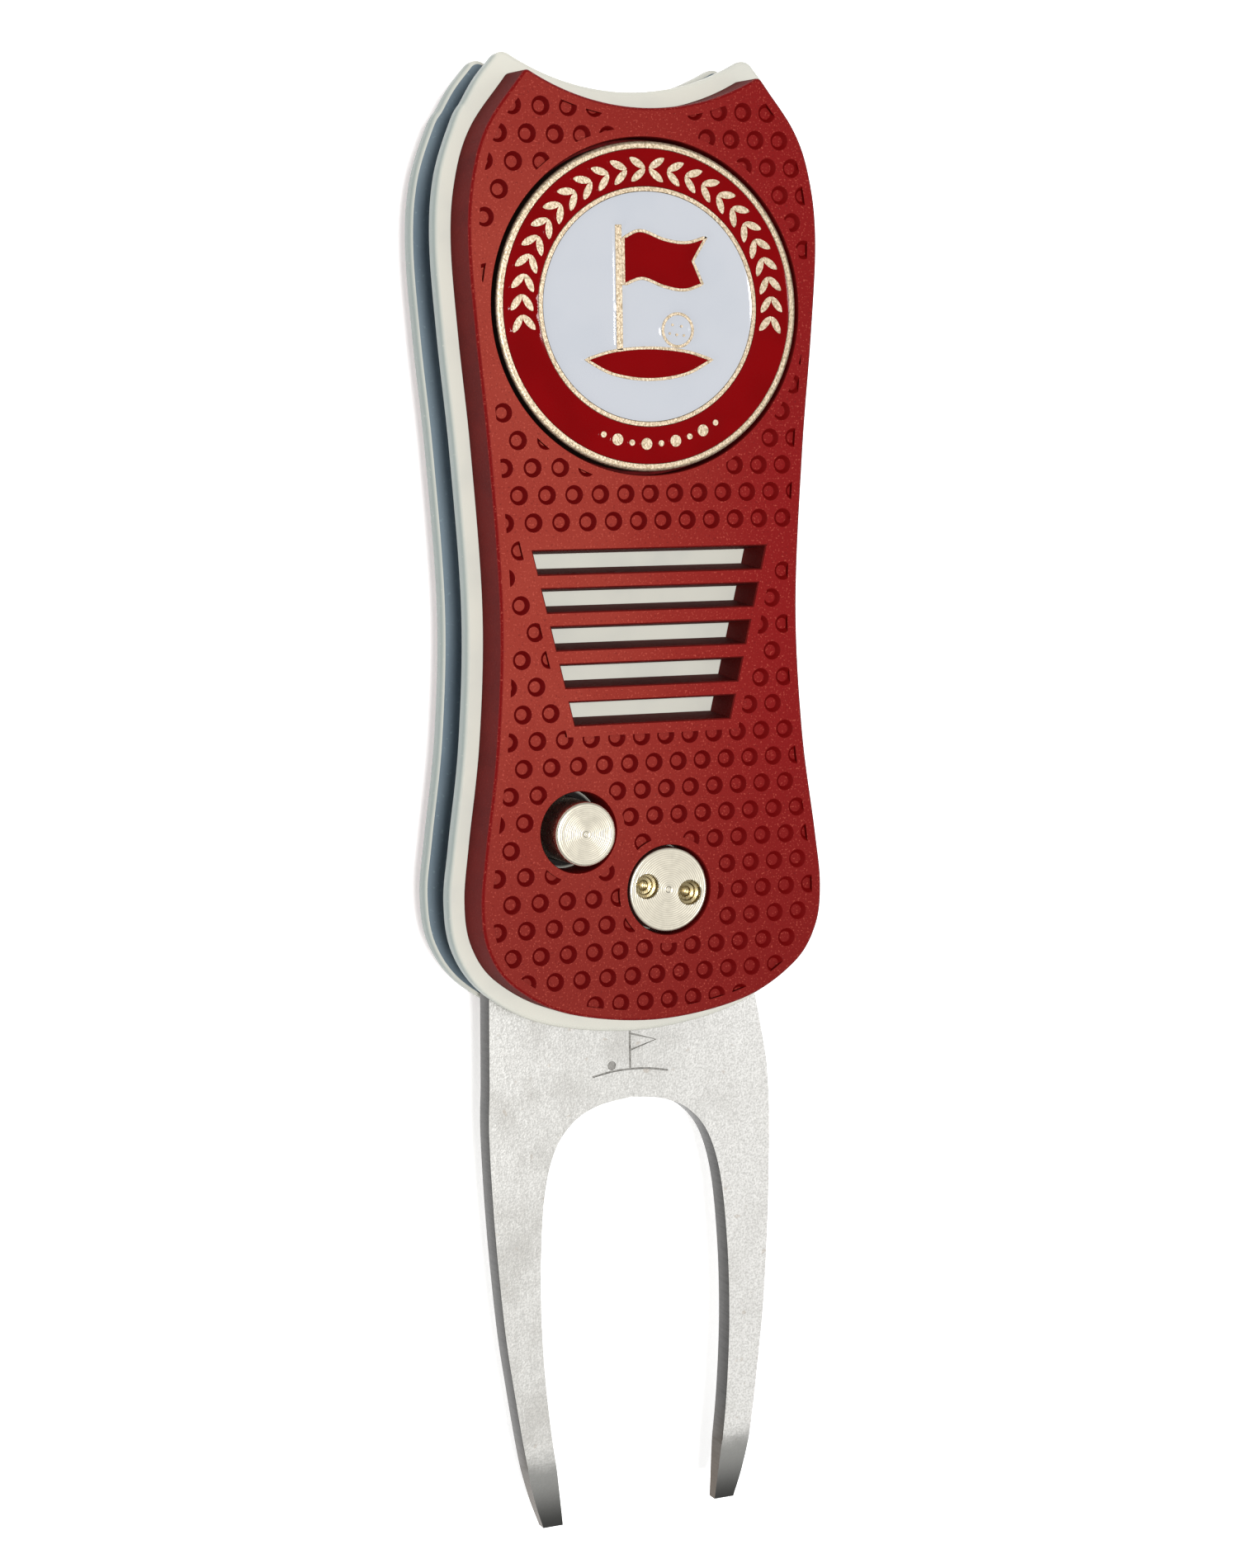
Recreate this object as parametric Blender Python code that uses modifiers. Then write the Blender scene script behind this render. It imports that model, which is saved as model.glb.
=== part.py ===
"""Folding divot repair tool, lying on its back with the fork open.

Two moulded grips and two painted plates are stacked round a spine. A two-tined
steel fork turns between the plates on a barrel and screw, driven by a torsion
spring and held by a push button. A round ball marker sits on a magnet in the
front grip.

The frame: +Z is out of the front face, +Y runs towards the horned end, +X is
to the right seen from the front. The origin is on the rear face, behind the
centre of the ball marker. Dimensions are in millimetres and become metres in
the meshes.
"""

import math

import bmesh
import bpy
from mathutils import Matrix, Vector

MM = 0.001

# Stack of layers, from the rear face (z = 0) to the front face.
GRIP_THICK = 3.6
PLATE_THICK = 1.4
PLATE_SPACE = 4.1
LAYER_GAP = 0.06
Z_REAR_PLATE = GRIP_THICK
Z_INSIDE_REAR = Z_REAR_PLATE + PLATE_THICK
Z_INSIDE_FRONT = Z_INSIDE_REAR + PLATE_SPACE
Z_FRONT_GRIP = Z_INSIDE_FRONT + PLATE_THICK
Z_FACE = Z_FRONT_GRIP + GRIP_THICK

# Handle outline. Each line is the right half from horn to bottom, and a piece's edge is a distance outside it.
GRIP_SIDE = (
    (9.45, 16.73), (12.45, 13.25), (13.66, 9.6), (14.05, 5.0), (13.6, -2.0),
    (12.75, -11.0), (12.05, -23.0), (12.5, -33.0), (13.55, -41.0), (14.0, -45.4),
    (13.52, -48.7), (11.6, -51.4), (7.2, -53.75), (0.0, -54.75),
)
PLATE_SIDE = (
    (10.0, 18.05), (11.43, 16.5), (12.52, 14.9), (13.24, 13.68), (14.54, 9.76), (14.95, 4.99),
    (14.5, -2.07), (13.65, -11.06), (12.95, -22.99), (13.39, -33.09), (14.43, -41.13), (14.9, -45.4),
    (14.34, -49.08), (12.05, -52.18), (7.4, -54.62), (0.0, -55.64),
)
NOTCH_CENTRE_Y = 34.87
GRIP_GROW = 0.6
PLATE_GROW = 1.0
GRIP_CHAMFER = 0.35

# Cooling-grille slots through both grips.
SLOT_COUNT = 5
SLOT_TOP = -18.4
SLOT_PITCH = 2.9
SLOT_HEIGHT = 1.78
SLOT_HALF_WIDTH = 9.8
SLOT_TAPER = 0.243

# Ball marker, its recess and its magnet.
MARKER_RADIUS = 12.5
MARKER_PROUD = 0.2
RECESS_RADIUS = 12.86
RECESS_DEPTH = 1.95
MAGNET_RADIUS = 6.0
RIM_INNER = 11.7
RING_INNER = 9.1
FIELD_RADIUS = 8.7
ENAMEL_DEPTH = 0.4
ENAMEL_CLEAR = 0.05

# Pivot: a barrel from the rear, a spanner-headed screw from the front.
PIVOT = Vector((1.15, -45.0))
PIVOT_HEAD_RADIUS = 3.25
PIVOT_HEAD_HOLE = 3.65
SPANNER_HOLE_RADIUS = 0.95
SPANNER_HOLE_OFFSET = 1.85
SPANNER_HOLE_DEPTH = 1.1
SPANNER_TILT = math.radians(-11)
PIVOT_RADIUS = 2.0
PIVOT_CLEAR = 0.06
BARREL_BORE = 1.3
BARREL_SHOULDER = 2.6
BARREL_HEAD_THICK = 1.0
SPRING_POCKET_RADIUS = 4.45
SPRING_POCKET_FLOOR = 1.75
WASHER_RADIUS = 5.8

# Fork blade. The tines are alike, and the root is cut away on the right for folding.
# REST_TURN is how far the open fork stands from straight, within the lock's play.
BLADE_THICK = 2.0
Z_BLADE = 6.2
TINE_OUTER = (
    (12.12, -60.5), (12.27, -64.5), (12.02, -72.0), (11.44, -80.0), (10.83, -85.0),
    (9.95, -91.0), (9.2, -94.5), (8.45, -96.9),
)
TINE_INNER = (
    (0.0, -62.4), (2.9, -62.85), (5.1, -64.0), (6.75, -66.2), (7.75, -70.0),
    (8.2, -76.0), (8.2, -82.0), (7.8, -88.0), (7.2, -93.0), (6.75, -96.9),
)
ROOT_RIGHT = ((8.0, -51.5), (10.3, -53.6), (11.25, -55.2))
ROOT_LEFT = ((-11.95, -54.0), (-11.8, -47.6), (-11.3, -46.2), (-7.4, -46.2))
TANG_RADIUS = 7.7
TANG_START = math.radians(188)
TANG_END = math.radians(-30)
TIP_TAPER_START = -91.5
TIP_TAPER_DEPTH = 0.5
REST_TURN = math.radians(0.7)
FOLD_ANGLE = math.radians(180.3)

# Lock button. The collar below the neck fits the two notches in the fork's tang.
BUTTON = Vector((-6.4, -40.05))
BUTTON_RADIUS = 2.48
BUTTON_PROUD = 1.5
BUTTON_TRAVEL = 1.5
BUTTON_HOLE = 3.15
BUTTON_NECK = 1.2
COLLAR_RADIUS = 3.0
COLLAR_THICK = 1.4
LOCK_NOTCH_RADIUS = 3.06
PLUG_RADIUS = 3.45
PLUG_THICK = 0.8

LOCK_SPRING_RADIUS = 1.9
LOCK_SPRING_WIRE = 0.45
LOCK_SPRING_TURNS = 3

# Drive spring round the barrel, and the slot in the rear grip that holds its straight tail.
DRIVE_SPRING_RADIUS = 3.55
DRIVE_SPRING_WIRE = 0.7
DRIVE_SPRING_PITCH = 0.78
DRIVE_SPRING_TURNS = 3
DRIVE_SPRING_TAIL = 6.0
TAIL_SLOT = (1.1, 7.5, 2.2)

# Stop pin and frame screws.
STOP_PIN = Vector((-10.2, -44.9))
STOP_PIN_RADIUS = 1.2
FRAME_SCREWS = (Vector((9.6, 12.2)), Vector((-9.6, 12.2)), Vector((-11.1, -35.0)))
SCREW_HEAD_RADIUS = 1.6
SCREW_HEAD_THICK = 1.1
SCREW_RADIUS = 0.95
SCREW_DEPTH_IN_GRIP = 1.8
SCREW_SOCKET_RADIUS = 0.75
SCREW_SOCKET_DEPTH = 0.9

# Spine between the plates, inset from their edge, clear of the folded fork.
SPINE_GROW = 0.1
SPINE_TOP_Y = 7.8
SPINE_END = (Vector((-9.5, -36.4)), Vector((-10.2, -37.5)))
FOLD_CLEAR = 0.2

FIT = 0.08
THROUGH = 1.0
ROUND_STEPS = 32
SMALL_STEPS = 16
MARKER_STEPS = 56

MATERIALS = {
    "grip_red": ((0.30, 0.035, 0.028), 0.55, 0.0),
    "plate_white": ((0.72, 0.72, 0.66), 0.4, 0.0),
    "spine_grey": ((0.16, 0.18, 0.20), 0.6, 0.0),
    "blade_steel": ((0.62, 0.61, 0.58), 0.35, 1.0),
    "turned_steel": ((0.66, 0.62, 0.54), 0.3, 1.0),
    "spring_steel": ((0.35, 0.35, 0.36), 0.35, 1.0),
    "bronze": ((0.55, 0.38, 0.18), 0.4, 1.0),
    "nickel": ((0.60, 0.56, 0.44), 0.4, 1.0),
    "magnet_black": ((0.05, 0.05, 0.055), 0.5, 0.3),
    "enamel_crimson": ((0.22, 0.008, 0.02), 0.12, 0.0),
    "enamel_white": ((0.80, 0.82, 0.86), 0.12, 0.0),
}


def clear_scene():
    for thing in list(bpy.data.objects):
        bpy.data.objects.remove(thing, do_unlink=True)


def new_collection(name):
    made = bpy.data.collections.new(name)
    bpy.context.scene.collection.children.link(made)
    return made


def material(name):
    found = bpy.data.materials.get(name)
    if found:
        return found
    colour, roughness, metallic = MATERIALS[name]
    made = bpy.data.materials.new(name)
    made.use_nodes = True
    shader = made.node_tree.nodes["Principled BSDF"]
    shader.inputs["Base Color"].default_value = (*colour, 1.0)
    shader.inputs["Roughness"].default_value = roughness
    shader.inputs["Metallic"].default_value = metallic
    made.diffuse_color = (*colour, 1.0)
    return made


def place(mesh, name, finish=None, at=(0.0, 0.0, 0.0)):
    """An object in the part's collection, or a hidden cutter when it has no finish."""
    made = bpy.data.objects.new(name, mesh)
    made.location = Vector(at) * MM
    if finish:
        made.data.materials.append(material(finish))
        PARTS.objects.link(made)
    else:
        CUTTERS.objects.link(made)
        made.hide_render = True
        made.display_type = "WIRE"
    return made


def cut(thing, cutter):
    change = thing.modifiers.new(cutter.name, "BOOLEAN")
    change.operation = "DIFFERENCE"
    change.solver = "EXACT"
    change.object = cutter


def shade_round(thing):
    thing.data.shade_smooth()
    thing.data.set_sharp_from_angle(angle=math.radians(35))


def curve_object(name, dimensions):
    curve = bpy.data.curves.new(name, "CURVE")
    curve.dimensions = dimensions
    made = bpy.data.objects.new(name, curve)
    bpy.context.scene.collection.objects.link(made)
    return made


def mesh_from_curve(made):
    """The curve's mesh with its loose caps welded. The curve itself is removed."""
    bpy.context.view_layer.update()
    graph = bpy.context.evaluated_depsgraph_get()
    mesh = bpy.data.meshes.new_from_object(made.evaluated_get(graph))
    weld = bmesh.new()
    weld.from_mesh(mesh)
    bmesh.ops.remove_doubles(weld, verts=weld.verts, dist=1e-7)
    bmesh.ops.recalc_face_normals(weld, faces=weld.faces)
    weld.to_mesh(mesh)
    weld.free()
    mesh.materials.clear()
    bpy.data.objects.remove(made, do_unlink=True)
    return mesh


def flat_mesh(name, outline, z_low, z_high):
    """A flat plate of the closed outline, from z_low to z_high."""
    made = curve_object(name, "2D")
    made.data.fill_mode = "BOTH"
    made.data.extrude = (z_high - z_low) / 2 * MM
    spline = made.data.splines.new("POLY")
    spline.points.add(len(outline) - 1)
    for point, (x, y) in zip(spline.points, outline):
        point.co = (x * MM, y * MM, 0.0, 1.0)
    spline.use_cyclic_u = True
    mesh = mesh_from_curve(made)
    mesh.transform(Matrix.Translation((0.0, 0.0, (z_high + z_low) / 2 * MM)))
    return mesh


def turned(name, profile, at, finish=None, steps=ROUND_STEPS):
    """A solid of revolution about Z. The profile is (radius, z), down the outer side from top to bottom."""
    mesh = bpy.data.meshes.new(name)
    shape = bmesh.new()
    corners = [shape.verts.new((r * MM, 0.0, z * MM)) for r, z in profile]
    pairs = list(zip(corners, corners[1:]))
    if min(r for r, z in profile) > 0.0:
        pairs.append((corners[-1], corners[0]))
    for pair in pairs:
        shape.edges.new(pair)
    shape.to_mesh(mesh)
    shape.free()
    made = place(mesh, name, finish, (at[0], at[1], 0.0))
    turn = made.modifiers.new("turn", "SCREW")
    turn.steps = steps
    turn.render_steps = steps
    turn.use_merge_vertices = True
    turn.merge_threshold = 1e-6
    turn.use_smooth_shade = finish is not None
    return made


def disc(radius, z_low, z_high):
    return ((0.0, z_high), (radius, z_high), (radius, z_low), (0.0, z_low))


def hole(name, thing, radius, at, z_low, z_high, steps=ROUND_STEPS):
    """Drills thing with a round cutter of that radius, from z_low to z_high."""
    cut(thing, turned(name, disc(radius, z_low, z_high), at, None, steps))


def counterbore(name, thing, at, stages, steps=ROUND_STEPS):
    """Cuts a stepped round hole. Each stage is (radius, z_top, z_bottom), from the top down."""
    profile = [(0.0, stages[0][1])]
    for radius, z_top, z_bottom in stages:
        profile += [(radius, z_top), (radius, z_bottom)]
    profile.append((0.0, stages[-1][2]))
    cut(thing, turned(name, profile, at, None, steps))


def block(name, size, at, tilt=0.0):
    """A box cutter with its centre at a point, tilted about X."""
    mesh = bpy.data.meshes.new(name)
    shape = bmesh.new()
    bmesh.ops.create_cube(shape, size=1.0)
    bmesh.ops.scale(shape, vec=Vector(size) * MM, verts=shape.verts)
    shape.to_mesh(mesh)
    shape.free()
    made = place(mesh, name, None, at)
    made.rotation_euler.x = tilt
    return made


def coil(name, radius, wire, z_low, pitch, turns, at, finish, tail=0.0, steps=12):
    """A round-wire helix, with a straight tail off its lower end when tail is given."""
    made = curve_object(name, "3D")
    made.data.bevel_depth = wire / 2 * MM
    made.data.bevel_resolution = 2
    made.data.use_fill_caps = True
    count = round(turns * steps)
    points = [(radius, -tail, z_low)] if tail else []
    for step in range(count + 1):
        angle = math.tau * step / steps
        points.append((radius * math.cos(angle), radius * math.sin(angle), z_low + pitch * step / steps))
    spline = made.data.splines.new("POLY")
    spline.points.add(len(points) - 1)
    for point, (x, y, z) in zip(spline.points, points):
        point.co = ((x + at[0]) * MM, (y + at[1]) * MM, z * MM, 1.0)
    made = place(mesh_from_curve(made), name, finish)
    shade_round(made)
    return made


def smooth_through(knots, steps=3, mirror_end=False):
    """Points on a smooth curve through all the knots (Catmull-Rom). mirror_end carries it level over x = 0."""
    first = (2 * knots[0][0] - knots[1][0], 2 * knots[0][1] - knots[1][1])
    last = (2 * knots[-1][0] - knots[-2][0], 2 * knots[-1][1] - knots[-2][1])
    if mirror_end:
        last = (-knots[-2][0], knots[-2][1])
    padded = [Vector(p) for p in (first, *knots, last)]
    points = []
    for a, b, c, d in zip(padded, padded[1:], padded[2:], padded[3:]):
        for step in range(steps):
            t = step / steps
            points.append(
                0.5 * (2 * b + (c - a) * t + (2 * a - 5 * b + 4 * c - d) * t**2 + (3 * b - a - 3 * c + d) * t**3)
            )
    points.append(Vector(knots[-1]))
    return points


def offset(points, distance):
    """The open line moved to its left by distance."""
    moved = []
    for index, point in enumerate(points):
        along = points[min(index + 1, len(points) - 1)] - points[max(index - 1, 0)]
        moved.append(point + Vector((-along.y, along.x)).normalized() * distance)
    return moved


def mirrored(points):
    return [Vector((-p.x, p.y)) for p in reversed(points)]


def handle_outline(knots, grow):
    """The closed outline that lies grow outside the curve through the knots, with rounded horns."""
    side = smooth_through(knots, mirror_end=True)
    horn = side[0]
    notch_centre = Vector((0.0, NOTCH_CENTRE_Y))
    radius = (horn - notch_centre).length
    spread = math.asin(horn.x / radius)
    notch = []
    for i in range(8):
        angle = spread * i / 7
        notch.append(notch_centre + Vector((math.sin(angle), -math.cos(angle))) * radius)
    notch, side = offset(notch, grow), offset(side, grow)
    notch[0].x = 0.0
    side[-1].x = 0.0
    start, end = (notch[-1] - horn), (side[0] - horn)
    turn = start.angle_signed(end)
    corner = []
    for i in range(1, 5):
        angle = math.atan2(start.y, start.x) - turn * i / 5
        corner.append(horn + Vector((math.cos(angle), math.sin(angle))) * grow)
    right = notch + corner + side
    return right + mirrored(right)[1:-1]


def turned_about_pivot(point, angle):
    arm = Vector(point) - PIVOT
    cosine, sine = math.cos(angle), math.sin(angle)
    return PIVOT + Vector((arm.x * cosine - arm.y * sine, arm.x * sine + arm.y * cosine))


def slot_cutters(thing, z_low, z_high, tag):
    for index in range(SLOT_COUNT):
        top = SLOT_TOP - index * SLOT_PITCH
        bottom = top - SLOT_HEIGHT
        wide = SLOT_HALF_WIDTH - SLOT_TAPER * (SLOT_TOP - top)
        narrow = SLOT_HALF_WIDTH - SLOT_TAPER * (SLOT_TOP - bottom)
        corners = ((-wide, top), (wide, top), (narrow, bottom), (-narrow, bottom))
        name = f"{tag}_slot_{index + 1}"
        cut(thing, place(flat_mesh(name, corners, z_low, z_high), name))


def chamfer_face(thing, z_face):
    """Chamfers the outer edge of the face at z_face."""
    mesh = thing.data
    weights = mesh.attributes.new("bevel_weight_edge", "FLOAT", "EDGE")
    flags = []
    for edge in mesh.edges:
        ends = [mesh.vertices[v].co for v in edge.vertices]
        on_face = all(abs(end.z - z_face * MM) < 1e-6 for end in ends)
        flags.append(on_face)
    sides = set()
    for face in mesh.polygons:
        if abs(face.normal.z) < 0.5:
            sides.update(tuple(sorted(pair)) for pair in face.edge_keys)
    for edge, on_face in zip(mesh.edges, flags):
        if on_face and tuple(sorted(edge.vertices)) in sides:
            weights.data[edge.index].value = 1.0
    change = thing.modifiers.new("edge_chamfer", "BEVEL")
    change.limit_method = "WEIGHT"
    change.width = GRIP_CHAMFER * MM
    change.segments = 2


def grip(name, z_low, z_high, z_face):
    made = place(flat_mesh(name, handle_outline(GRIP_SIDE, GRIP_GROW), z_low, z_high), name, "grip_red")
    chamfer_face(made, z_face)
    slot_cutters(made, z_low - THROUGH, z_high + THROUGH, name)
    return made


def make_front_grip():
    low, high = Z_FRONT_GRIP + LAYER_GAP, Z_FACE
    made = grip("front_grip", low, high, high)
    recess_floor = Z_FACE - RECESS_DEPTH
    hole("marker_recess", made, RECESS_RADIUS, (0.0, 0.0), recess_floor, high + THROUGH, MARKER_STEPS)
    hole("magnet_hole", made, MAGNET_RADIUS + FIT, (0.0, 0.0), low - THROUGH, high)
    hole("button_hole", made, BUTTON_HOLE, BUTTON, low - THROUGH, high + THROUGH)
    hole("pivot_hole", made, PIVOT_HEAD_HOLE, PIVOT, low - THROUGH, high + THROUGH)
    for index, spot in enumerate(FRAME_SCREWS):
        top = low + SCREW_DEPTH_IN_GRIP + FIT
        hole(f"blind_hole_{index + 1}", made, SCREW_RADIUS + FIT, spot, low - THROUGH, top, SMALL_STEPS)


def make_rear_grip():
    high = Z_REAR_PLATE - LAYER_GAP
    made = grip("rear_grip", 0.0, high, 0.0)
    counterbore("barrel_bore", made, PIVOT, (
        (SPRING_POCKET_RADIUS, high + THROUGH, SPRING_POCKET_FLOOR),
        (BARREL_SHOULDER + FIT, SPRING_POCKET_FLOOR, BARREL_HEAD_THICK + 2 * FIT),
        (PIVOT_HEAD_RADIUS + FIT, BARREL_HEAD_THICK + 2 * FIT, -THROUGH),
    ))
    width, length, height = TAIL_SLOT
    slot_at = (PIVOT.x + DRIVE_SPRING_RADIUS, PIVOT.y - length / 2, SPRING_POCKET_FLOOR + height / 2)
    cut(made, block("tail_slot", TAIL_SLOT, slot_at))
    plug_seat = PLUG_THICK + 2 * FIT
    counterbore("lock_bore", made, BUTTON, (
        (COLLAR_RADIUS + FIT, high + THROUGH, plug_seat),
        (PLUG_RADIUS + FIT, plug_seat, -THROUGH),
    ))
    head_seat = SCREW_HEAD_THICK + 2 * FIT
    for index, spot in enumerate(FRAME_SCREWS):
        counterbore(f"screw_bore_{index + 1}", made, spot, (
            (SCREW_RADIUS + FIT, high + THROUGH, head_seat),
            (SCREW_HEAD_RADIUS + FIT, head_seat, -THROUGH),
        ), SMALL_STEPS)


def plate(name, z_low, z_high):
    made = place(flat_mesh(name, handle_outline(PLATE_SIDE, PLATE_GROW), z_low, z_high), name, "plate_white")
    low, high = z_low - THROUGH, z_high + THROUGH
    for index, spot in enumerate(FRAME_SCREWS):
        hole(f"{name}_screw_{index + 1}", made, SCREW_RADIUS + FIT, spot, low, high, SMALL_STEPS)
    hole(f"{name}_stop_hole", made, STOP_PIN_RADIUS + FIT, STOP_PIN, low, high, SMALL_STEPS)
    return made


def make_plates():
    front = plate("front_plate", Z_INSIDE_FRONT, Z_FRONT_GRIP)
    low, high = Z_INSIDE_FRONT - THROUGH, Z_FRONT_GRIP + THROUGH
    hole("front_plate_pivot", front, PIVOT_RADIUS + FIT, PIVOT, low, high)
    hole("front_plate_button", front, BUTTON_RADIUS + FIT, BUTTON, low, high)
    rear = plate("rear_plate", Z_REAR_PLATE, Z_INSIDE_REAR)
    low, high = Z_REAR_PLATE - THROUGH, Z_INSIDE_REAR + THROUGH
    hole("rear_plate_pivot", rear, SPRING_POCKET_RADIUS, PIVOT, low, high)
    hole("rear_plate_collar", rear, COLLAR_RADIUS + FIT, BUTTON, low, high)


def make_spine():
    """A block under the horns, with an arm down the left side that stops the folded fork."""
    outline = handle_outline(GRIP_SIDE, SPINE_GROW)
    bottom = min(range(len(outline)), key=lambda index: outline[index].y)
    outer = [p for p in outline[bottom:] if p.y > SPINE_END[1].y]
    outer += [p for p in outline[:bottom] if p.y > SPINE_TOP_Y]
    tine = smooth_through((ROOT_RIGHT[-1], *TINE_OUTER))
    fork_edge = [turned_about_pivot(p, REST_TURN + FOLD_ANGLE) for p in tine]
    inner = [p for p in offset(fork_edge, FOLD_CLEAR) if p.y < SPINE_TOP_Y - 2.0]
    corner_x = inner[-1].x
    inner += [Vector((corner_x, SPINE_TOP_Y - 1.0)), Vector((corner_x + 1.0, SPINE_TOP_Y))]
    path = outer + list(reversed(inner)) + list(SPINE_END)
    low, high = Z_INSIDE_REAR + LAYER_GAP, Z_INSIDE_FRONT - LAYER_GAP
    made = place(flat_mesh("spine", path, low, high), "spine", "spine_grey")
    for index, spot in enumerate(FRAME_SCREWS):
        hole(f"spine_screw_{index + 1}", made, SCREW_RADIUS + FIT, spot, low - THROUGH, high + THROUGH, SMALL_STEPS)


def make_fork():
    outer = smooth_through(TINE_OUTER)
    inner = smooth_through(TINE_INNER)
    right = [Vector(p) for p in ROOT_RIGHT] + outer + list(reversed(inner))
    left = mirrored(outer + list(reversed(inner)))[1:]
    tang = []
    for step in range(ROUND_STEPS + 1):
        angle = TANG_START + (TANG_END - TANG_START) * step / ROUND_STEPS
        tang.append(PIVOT + Vector((math.cos(angle), math.sin(angle))) * TANG_RADIUS)
    path = right + left + [Vector(p) for p in ROOT_LEFT] + tang
    path = [turned_about_pivot(p, REST_TURN) for p in path]
    z_high = Z_BLADE + BLADE_THICK
    made = place(flat_mesh("fork_blade", path, Z_BLADE, z_high), "fork_blade", "blade_steel")
    low, high = Z_BLADE - THROUGH, z_high + THROUGH
    hole("fork_pivot_hole", made, PIVOT_RADIUS + PIVOT_CLEAR, PIVOT, low, high)
    hole("open_notch", made, LOCK_NOTCH_RADIUS, BUTTON, low, high)
    folded_notch = turned_about_pivot(BUTTON, -FOLD_ANGLE)
    hole("folded_notch", made, LOCK_NOTCH_RADIUS, folded_notch, low, high)
    length = TIP_TAPER_START - TINE_OUTER[-1][1]
    slope = math.atan2(TIP_TAPER_DEPTH, length)
    size = (40.0, 12.0, 4.0)
    along = Vector((0.0, -math.cos(slope), -math.sin(slope)))
    away = Vector((0.0, -math.sin(slope), math.cos(slope)))
    start = Vector((0.0, TIP_TAPER_START, z_high))
    centre = start + along * size[1] / 2 + away * size[2] / 2
    cut(made, block("front_taper", size, centre, slope))
    middle = 2 * (Z_BLADE + BLADE_THICK / 2)
    cut(made, block("rear_taper", size, (0.0, centre.y, middle - centre.z), -slope))


def make_pivot():
    head_top = Z_FACE - 0.1
    head_low = Z_FRONT_GRIP + LAYER_GAP
    bore_floor = SPRING_POCKET_FLOOR + 1.0
    shank = BARREL_BORE - FIT
    screw_profile = (
        (0.0, head_top), (PIVOT_HEAD_RADIUS - 0.15, head_top), (PIVOT_HEAD_RADIUS, head_top - 0.15),
        (PIVOT_HEAD_RADIUS, head_low), (shank, head_low), (shank, bore_floor + 0.5), (0.0, bore_floor + 0.5),
    )
    screw = turned("pivot_screw", screw_profile, PIVOT, "turned_steel")
    reach = Vector((math.cos(SPANNER_TILT), math.sin(SPANNER_TILT))) * SPANNER_HOLE_OFFSET
    for tag, spot in (("left", PIVOT - reach), ("right", PIVOT + reach)):
        low, high = head_top - SPANNER_HOLE_DEPTH, head_top + THROUGH
        hole(f"spanner_hole_{tag}", screw, SPANNER_HOLE_RADIUS, spot, low, high, SMALL_STEPS)
    barrel_top = Z_FRONT_GRIP - LAYER_GAP
    shoulder = Z_INSIDE_REAR
    head = BARREL_HEAD_THICK + FIT
    barrel_profile = (
        (0.0, bore_floor), (BARREL_BORE, bore_floor), (BARREL_BORE, barrel_top), (PIVOT_RADIUS, barrel_top),
        (PIVOT_RADIUS, shoulder), (BARREL_SHOULDER, shoulder), (BARREL_SHOULDER, head),
        (PIVOT_HEAD_RADIUS, head), (PIVOT_HEAD_RADIUS, FIT), (0.0, FIT),
    )
    turned("pivot_barrel", barrel_profile, PIVOT, "turned_steel")
    for name, low, high in (
        ("front_washer", Z_BLADE + BLADE_THICK, Z_INSIDE_FRONT),
        ("rear_washer", Z_INSIDE_REAR, Z_BLADE),
    ):
        low, high = low + LAYER_GAP, high - LAYER_GAP
        bore = PIVOT_RADIUS + PIVOT_CLEAR
        ring = ((bore, high), (WASHER_RADIUS, high), (WASHER_RADIUS, low), (bore, low))
        turned(name, ring, PIVOT, "bronze")
    low = SPRING_POCKET_FLOOR + DRIVE_SPRING_WIRE / 2 + FIT
    coil(
        "drive_spring", DRIVE_SPRING_RADIUS, DRIVE_SPRING_WIRE, low, DRIVE_SPRING_PITCH,
        DRIVE_SPRING_TURNS, PIVOT, "spring_steel", DRIVE_SPRING_TAIL,
    )


def make_lock():
    top = Z_FACE + BUTTON_PROUD
    cap_low = Z_BLADE + BLADE_THICK + BUTTON_TRAVEL + 0.4
    collar_top = Z_BLADE - 0.25
    collar_low = collar_top - COLLAR_THICK
    spigot_low = collar_low - 1.2
    profile = (
        (0.0, top), (BUTTON_RADIUS - 0.2, top), (BUTTON_RADIUS, top - 0.2), (BUTTON_RADIUS, cap_low),
        (BUTTON_NECK, cap_low), (BUTTON_NECK, collar_top), (COLLAR_RADIUS, collar_top),
        (COLLAR_RADIUS, collar_low), (BUTTON_NECK, collar_low), (BUTTON_NECK, spigot_low), (0.0, spigot_low),
    )
    turned("lock_button", profile, BUTTON, "turned_steel")
    turned("spring_plug", disc(PLUG_RADIUS, FIT, FIT + PLUG_THICK), BUTTON, "turned_steel")
    low = FIT + PLUG_THICK + LOCK_SPRING_WIRE / 2 + LAYER_GAP
    rise = collar_low - LOCK_SPRING_WIRE / 2 - LAYER_GAP - low
    coil(
        "lock_spring", LOCK_SPRING_RADIUS, LOCK_SPRING_WIRE, low, rise / LOCK_SPRING_TURNS,
        LOCK_SPRING_TURNS, BUTTON, "spring_steel",
    )
    pin_low, pin_high = Z_REAR_PLATE + FIT, Z_FRONT_GRIP - FIT
    turned("stop_pin", disc(STOP_PIN_RADIUS, pin_low, pin_high), STOP_PIN, "turned_steel", SMALL_STEPS)


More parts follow.
